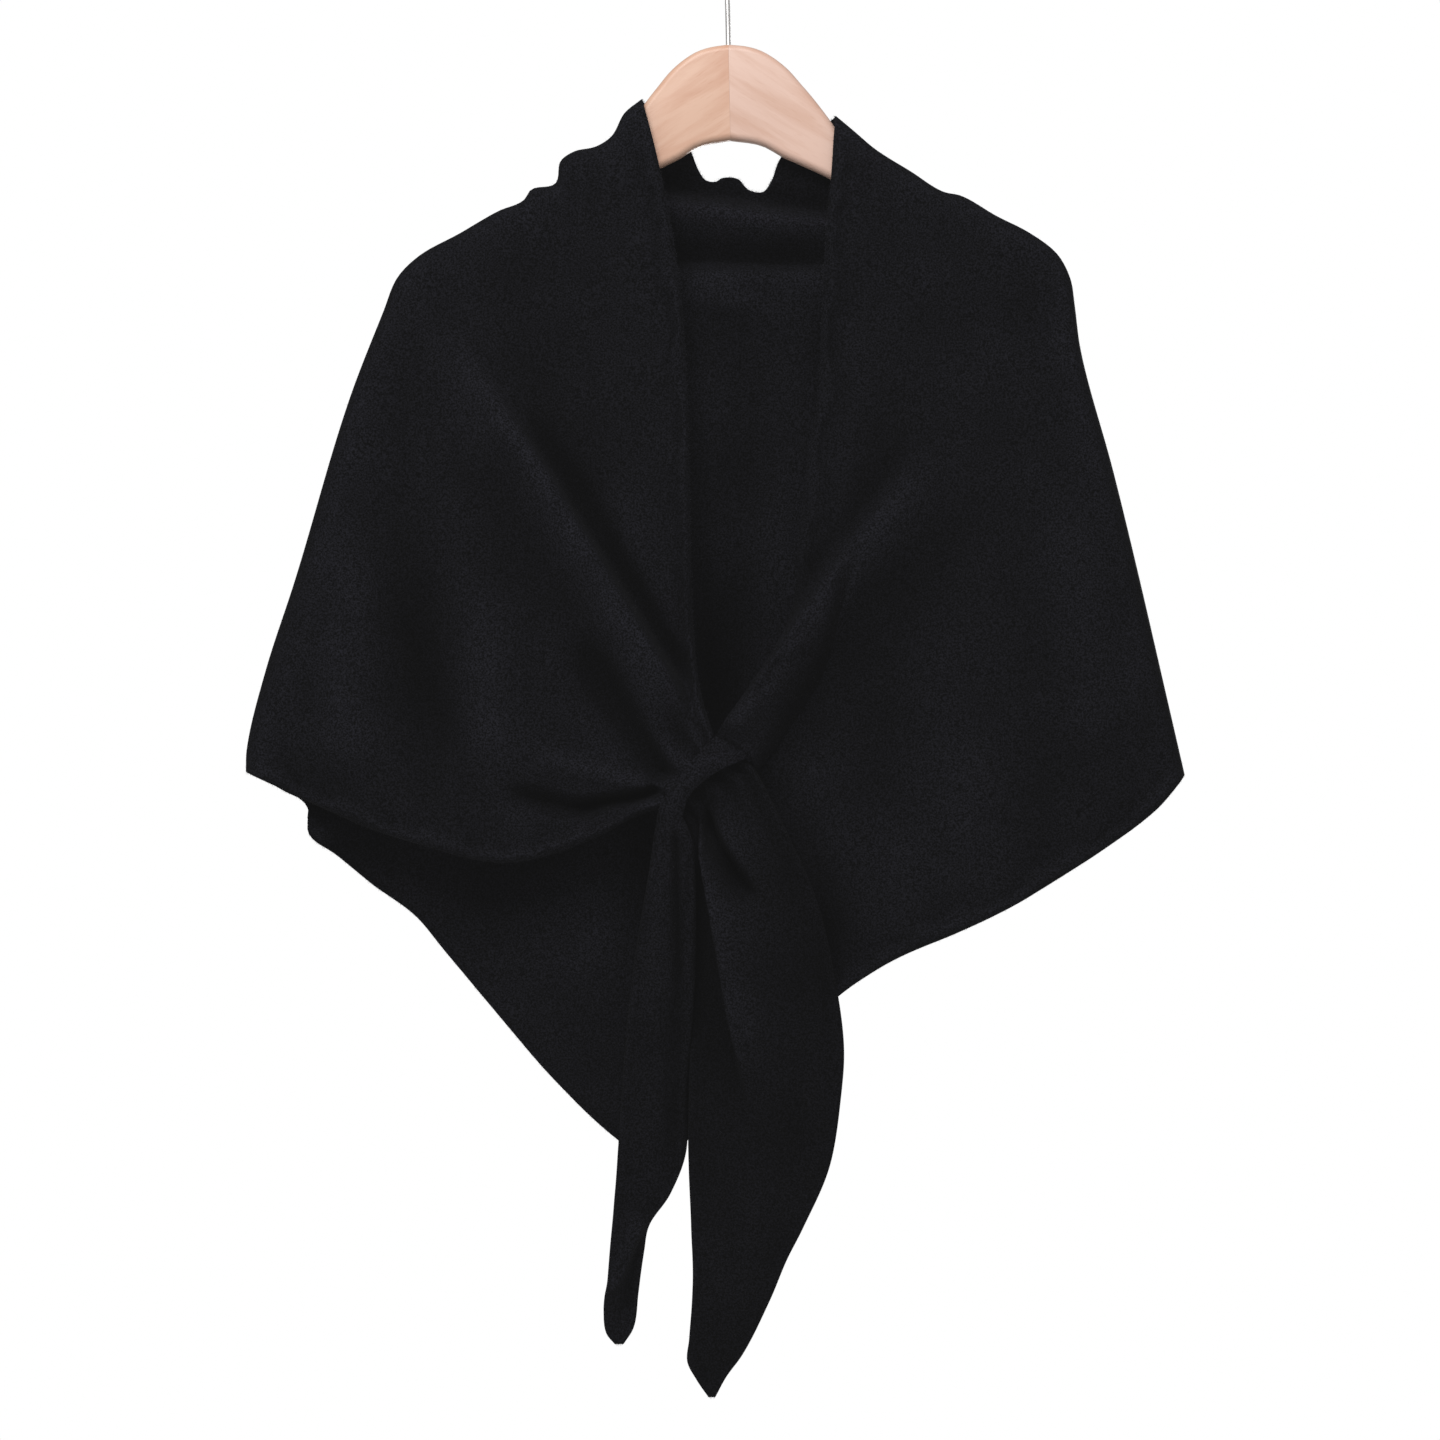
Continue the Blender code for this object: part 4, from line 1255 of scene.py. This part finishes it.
@dataclass(frozen=True)
class WoolKnit:
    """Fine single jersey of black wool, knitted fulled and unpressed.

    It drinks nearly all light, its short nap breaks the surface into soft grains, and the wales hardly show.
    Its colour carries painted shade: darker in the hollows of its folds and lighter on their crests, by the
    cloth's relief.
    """

    name: str = "fine wool jersey"
    colour: str = "#040405"
    nap_colour: str = "#202026"
    painted_hollow_shade: float = 0.25
    painted_crest_light: float = 1.2
    roughness: float = 0.95
    grain: float = 1.15 * MM
    wale: float = 1.4 * MM
    wale_share: float = 0.12
    grain_depth: float = 0.35 * MM
    mottle: float = 38 * MM
    sheen: float = 0.004

    def build(self) -> Material:
        """Builds the knit's material.

        Returns:
            The material.
        """
        graph = Graph(self.name)
        grain = graph.noise(graph.where(), self.grain, Detail=3.0, Roughness=0.6)
        mottle = graph.noise(graph.where(), self.mottle, Detail=2.0)
        patchy = graph.spread(mottle, 0.3, 0.7, to_low=0.75)
        nap = graph.maths("MULTIPLY", graph.spread(grain, 0.4, 0.64), patchy)
        # Painted shade: the relief, taken on the side that faces the front, darkens the colour in hollows and
        # lightens it on crests
        relief = add_node(graph.tree, "ShaderNodeAttribute", attribute_name=RELIEF)
        surface = add_node(graph.tree, "ShaderNodeNewGeometry")
        facing = add_node(
            graph.tree,
            "ShaderNodeVectorMath",
            {0: surface.outputs["Normal"], 1: (0, -1, 0)},
            operation="DOT_PRODUCT",
        )
        raised = graph.maths("MULTIPLY", relief.outputs["Fac"], facing.outputs["Value"])
        shade = graph.spread(raised, -1.0, 1.0, self.painted_hollow_shade, self.painted_crest_light)
        painted_colour = add_node(
            graph.tree,
            "ShaderNodeVectorMath",
            {0: graph.mix(nap, self.colour, self.nap_colour), "Scale": shade},
            operation="SCALE",
        )
        wales = add_node(
            graph.tree,
            "ShaderNodeTexWave",
            {"Vector": graph.where("UV"), "Scale": ONE_BAND / self.wale, "Distortion": 2.5, "Detail": 1.0},
            bands_direction="X",
        )
        height = graph.maths("MULTIPLY_ADD", wales.outputs["Fac"], self.wale_share, grain)
        return graph.finish(
            {
                "Base Color": painted_colour.outputs["Vector"],
                "Normal": graph.bump(height, self.grain_depth, 0.8),
                "Roughness": self.roughness,
                "Specular IOR Level": 0.04,
                "Sheen Weight": self.sheen,
                "Sheen Roughness": 0.5,
            }
        )


@dataclass(frozen=True)
class StrayWool:
    """Loose black wool fibre: fine, round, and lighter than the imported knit, as light passes round it."""

    name: str = "stray wool fibre"
    colour: str = "#1d1d21"
    tip_colour: str = "#3a3a40"
    change: float = 5 * MM

    def build(self) -> Material:
        """Builds the fibre's material.

        Returns:
            The material.
        """
        graph = Graph(self.name)
        change = graph.noise(graph.where(), self.change, Detail=2.0)
        colour = graph.mix(change, self.colour, self.tip_colour)
        return graph.finish({"Base Color": colour, "Roughness": 0.8, "Specular IOR Level": 0.2})


@dataclass(frozen=True)
class Beech:
    """Steamed beech under satin varnish: pale, pinkish, flecked, its grain slanting up to the joint."""

    name: str
    colour: str
    streak: str
    slope: float
    roughness: float = 0.42
    figure: float = 9 * MM
    fleck: float = 1.1 * MM
    fleck_depth: float = 0.05 * MM
    stretch: tuple[float, float, float] = (0.12, 0.6, 1)

    def build(self) -> Material:
        """Builds the wood's material, its grain turned to the arm's slope.

        Returns:
            The material.
        """
        graph = Graph(self.name)
        turned = add_node(
            graph.tree, "ShaderNodeMapping", {"Vector": graph.where(), "Rotation": (0, self.slope, 0)}
        )
        stretched = add_node(
            graph.tree, "ShaderNodeMapping", {"Vector": turned.outputs["Vector"], "Scale": self.stretch}
        ).outputs["Vector"]
        bands = graph.spread(graph.noise(stretched, self.figure, Detail=4.0, Distortion=0.4), 0.42, 0.72)
        flecks = graph.noise(stretched, self.fleck, Detail=1.0)
        dark = graph.maths("ADD", bands, graph.spread(flecks, 0.58, 0.8, to_high=0.35), use_clamp=True)
        return graph.finish(
            {
                "Base Color": graph.mix(dark, self.colour, self.streak),
                "Normal": graph.bump(flecks, self.fleck_depth, 0.3),
                "Roughness": self.roughness,
                "Coat Weight": 0.15,
                "Coat Roughness": 0.3,
            }
        )


@dataclass(frozen=True)
class PlatedWire:
    """Bent steel wire with bright nickel plating: a clean reflection, faintly hazed by handling."""

    name: str = "nickel plated steel wire"
    colour: str = "#f3f0ee"
    roughness: float = 0.32
    clear: float = 0.8
    hazed: float = 1.4
    haze: float = 6 * MM

    def build(self) -> Material:
        """Builds the wire's material.

        Returns:
            The material.
        """
        graph = Graph(self.name)
        haze = graph.noise(graph.where(), self.haze, Detail=3.0)
        dull = graph.spread(haze, 0.0, 1.0, self.roughness * self.clear, self.roughness * self.hazed)
        return graph.finish({"Base Color": linear(self.colour), "Roughness": dull, "Metallic": 1.0})


@dataclass(frozen=True)
class PaperFloor:
    """Seamless white studio paper: matt, even, without grain at this distance."""

    name: str = "matt white paper"
    colour: str = "#f4f4f3"

    def build(self) -> Material:
        """Builds the paper's material."""
        colour = linear(self.colour)
        return Graph(self.name).finish({"Base Color": colour, "Roughness": 0.9, "Specular IOR Level": 0.1})


@dataclass
class SoftBox:
    """A soft area light: where it hangs, how large and strong it is."""

    name: str
    place: tuple[float, float, float]
    size: float
    watts: float


@dataclass
class Studio:
    """A pale floor, soft light and the camera at the photograph's height, level and straight on."""

    aim: tuple[float, float, float] = (-0.004, 0, -0.5316)
    camera_distance: float = 2.15
    frame_width: float = 0.968
    sensor_width: float = 36.0
    floor_height: float = -1.15
    floor_radius: float = 0.58
    ambient: float = 0.34
    flare: float = 0.0053
    soft_boxes: tuple[SoftBox, ...] = (
        SoftBox("key_light", (-0.3, -1.4, 0.9), 1.2, 31),
        SoftBox("fill_light", (0.1, -2.9, -0.5), 2.2, 6),
        SoftBox("rear_light", (0.9, 2.4, -0.35), 1.6, 40),
    )

    def camera(self) -> None:
        """Sets up the camera."""
        data = bpy.data.cameras.new("photo_camera")
        data.sensor_width = self.sensor_width
        data.lens = self.sensor_width * self.camera_distance / self.frame_width
        data.clip_end = 50
        camera = show(data)
        camera.location = Vector(self.aim) - Vector((0, self.camera_distance, 0))
        camera.rotation_euler = (math.pi / 2, 0, 0)
        bpy.context.scene.camera = camera

    def lights(self) -> None:
        """Hangs the soft boxes, each turned to the scarf."""
        for box in self.soft_boxes:
            data = bpy.data.lights.new(box.name, "AREA")
            data.shape = "SQUARE"
            data.size = box.size
            data.energy = box.watts
            light = show(data)
            light.location = box.place
            way = Vector(self.aim) - Vector(box.place)
            light.rotation_euler = way.to_track_quat("-Z", "Y").to_euler()

    def world(self) -> None:
        """Surrounds the scene with even white, dimmer where it only lights, and lifts black by the flare."""
        world = bpy.data.worlds.new("studio")
        bpy.context.scene.world = world
        world.use_nodes = True
        tree = world.node_tree
        tree.nodes.clear()
        path = add_node(tree, "ShaderNodeLightPath")
        strength = add_node(
            tree,
            "ShaderNodeMapRange",
            {"Value": path.outputs["Is Camera Ray"], "To Min": self.ambient, "To Max": 1.0},
        )
        white = add_node(
            tree, "ShaderNodeBackground", {"Color": linear("#ffffff"), "Strength": strength.outputs["Result"]}
        )
        add_node(tree, "ShaderNodeOutputWorld", {"Surface": white.outputs["Background"]})
        view = bpy.context.scene.view_settings
        view.view_transform = "Standard"
        view.use_curve_mapping = True
        view.curve_mapping.black_level = (-self.flare, -self.flare, -self.flare)
        view.curve_mapping.update()

    def floor(self) -> None:
        """Lays the round pale floor well below the tails."""
        bm = bmesh.new()
        bmesh.ops.create_circle(bm, cap_ends=True, segments=128, radius=self.floor_radius)
        bmesh.ops.translate(bm, verts=bm.verts, vec=(0, 0, self.floor_height))
        mesh = keep_mesh(bm, "paper_floor")
        mesh.materials.append(PaperFloor().build())
        show(mesh)


def mirrored(rows: Sequence[Edge]) -> tuple[Edge, ...]:
    """Gives the same edge behind the hanger's middle plane."""
    return tuple(Edge(row.x, row.z, -row.y) for row in rows)


def scarf_pieces() -> list[ClothPiece]:
    """Cuts out the scarf: each stretch with its edges, folds and flat size.

    Returns:
        The stretches, from the back to the front.
    """
    half_wall = 1.2 * MM
    left_knot, right_knot = Rail(LEFT_KNOT), Rail(RIGHT_KNOT)
    arms = ("fine_hanger_left_arm", "fine_hanger_right_arm")
    return [
        BackPanel(
            "back_panel", 200, 190, flat=(0.66, 0.74), cut_area=0.297, hold=Hold.HUNG, rests_on=arms,
            left=Rail(mirrored(LEFT_SIDE), inset=half_wall),
            right=Rail(mirrored(RIGHT_SIDE), inset=-half_wall),
            neck=Rail(BACK_NECK),
            hem=Rail(BACK_HEM),
            folds=BACK_FOLDS,
            rolls=NECK_ROLLS,
            relief_full=9 * MM,
            # Painted light: the back's colour is painted a little lighter
            painted_light_bias=0.1,
        ),
        FrontPanel(
            "front_left", 140, 190, flat=(0.34, 0.56), cut_area=0.113, hold=Hold.HUNG, rests_on=arms[:1],
            slack=Slack(seed=7),
            knot=left_knot,
            side=Rail(LEFT_SIDE, inset=half_wall),
            neck=Rail(LEFT_NECK),
            hem=Rail(LEFT_HEM),
            folds=LEFT_FOLDS,
            row_law=LEFT_ROWS,
            gathers=Gathers(),
            relief_full=5.5 * MM,
        ),
        FrontPanel(
            "front_right", 140, 190, flat=(0.36, 0.72), cut_area=0.132, hold=Hold.HUNG, rests_on=arms[1:],
            slack=Slack(seed=11),
            knot=right_knot,
            side=Rail(RIGHT_SIDE, inset=-half_wall),
            neck=Rail(RIGHT_NECK),
            hem=Rail(RIGHT_HEM),
            folds=RIGHT_FOLDS,
            row_law=RIGHT_ROWS,
            relief_full=6.5 * MM,
        ),
        Band(
            "band", 40, 50, flat=(0.03, 0.055), cut_area=0.001, hold=Hold.GATHERED,
            rests_on=("knit_front_right",),
            upper=Rail(BAND_UPPER),
            lower=Rail(BAND_LOWER),
            root=right_knot,
            # Painted light: the band's colour is painted lighter
            painted_light_bias=0.35,
        ),
        Tail(
            "tail_right", 60, 150, flat=(0.12, 0.44), cut_area=0.034, hold=Hold.GATHERED,
            rests_on=("knit_band",),
            slack=Slack(seed=3),
            left=Rail(TAIL_RIGHT_INNER),
            right=Rail(TAIL_RIGHT_OUTER),
            folds=TAIL_RIGHT_FOLDS,
            relief_full=9 * MM,
            # Painted shade: the right tail's colour is painted darker
            painted_light_bias=-0.55,
            head=left_knot,
            gathers=Gathers(),
        ),
        Tail(
            "tail_left", 50, 150, flat=(0.05, 0.36), cut_area=0.0133, hold=Hold.GATHERED,
            rests_on=("knit_band",),
            slack=Slack(seed=5),
            left=Rail(TAIL_LEFT_OUTER),
            right=Rail(TAIL_LEFT_INNER),
            folds=TAIL_LEFT_FOLDS,
            # Painted shade: the left tail's colour is painted darker
            painted_light_bias=-0.2,
            belly=4 * MM,
            root_belly=2.5 * MM,
        ),
    ]


def main() -> None:
    """Builds the studio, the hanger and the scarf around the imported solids."""
    logging.basicConfig(level=logging.INFO, format="%(message)s")
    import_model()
    studio = Studio()
    studio.camera()
    studio.lights()
    studio.world()
    studio.floor()
    hanger = Hanger()
    left_wood = Beech("satin beech, left", "#d6ae96", "#c6957a", math.radians(32))
    right_wood = Beech("satin beech, right", "#d9b6a5", "#c99f89", math.radians(-32))
    arms = hanger.arm(-1, left_wood.build()), hanger.arm(1, right_wood.build())
    for piece in (*arms, hanger.hook(PlatedWire().build())):
        LOG.info("hanger piece %s", piece.name)
    knit, stray = WoolKnit().build(), StrayWool().build()
    for seed, stretch in enumerate(scarf_pieces()):
        piece = stretch.build(knit)
        nap = Nap(seed).strew(stretch, stray)
        stretch.declare(piece, nap)
        points, fibres = len(piece.data.vertices), len(nap.data.vertices) // SPIKE_POINTS
        LOG.info("cloth piece %s: %d vertices, %d fibres", piece.name, points, fibres)


if __name__ == "__main__":
    main()
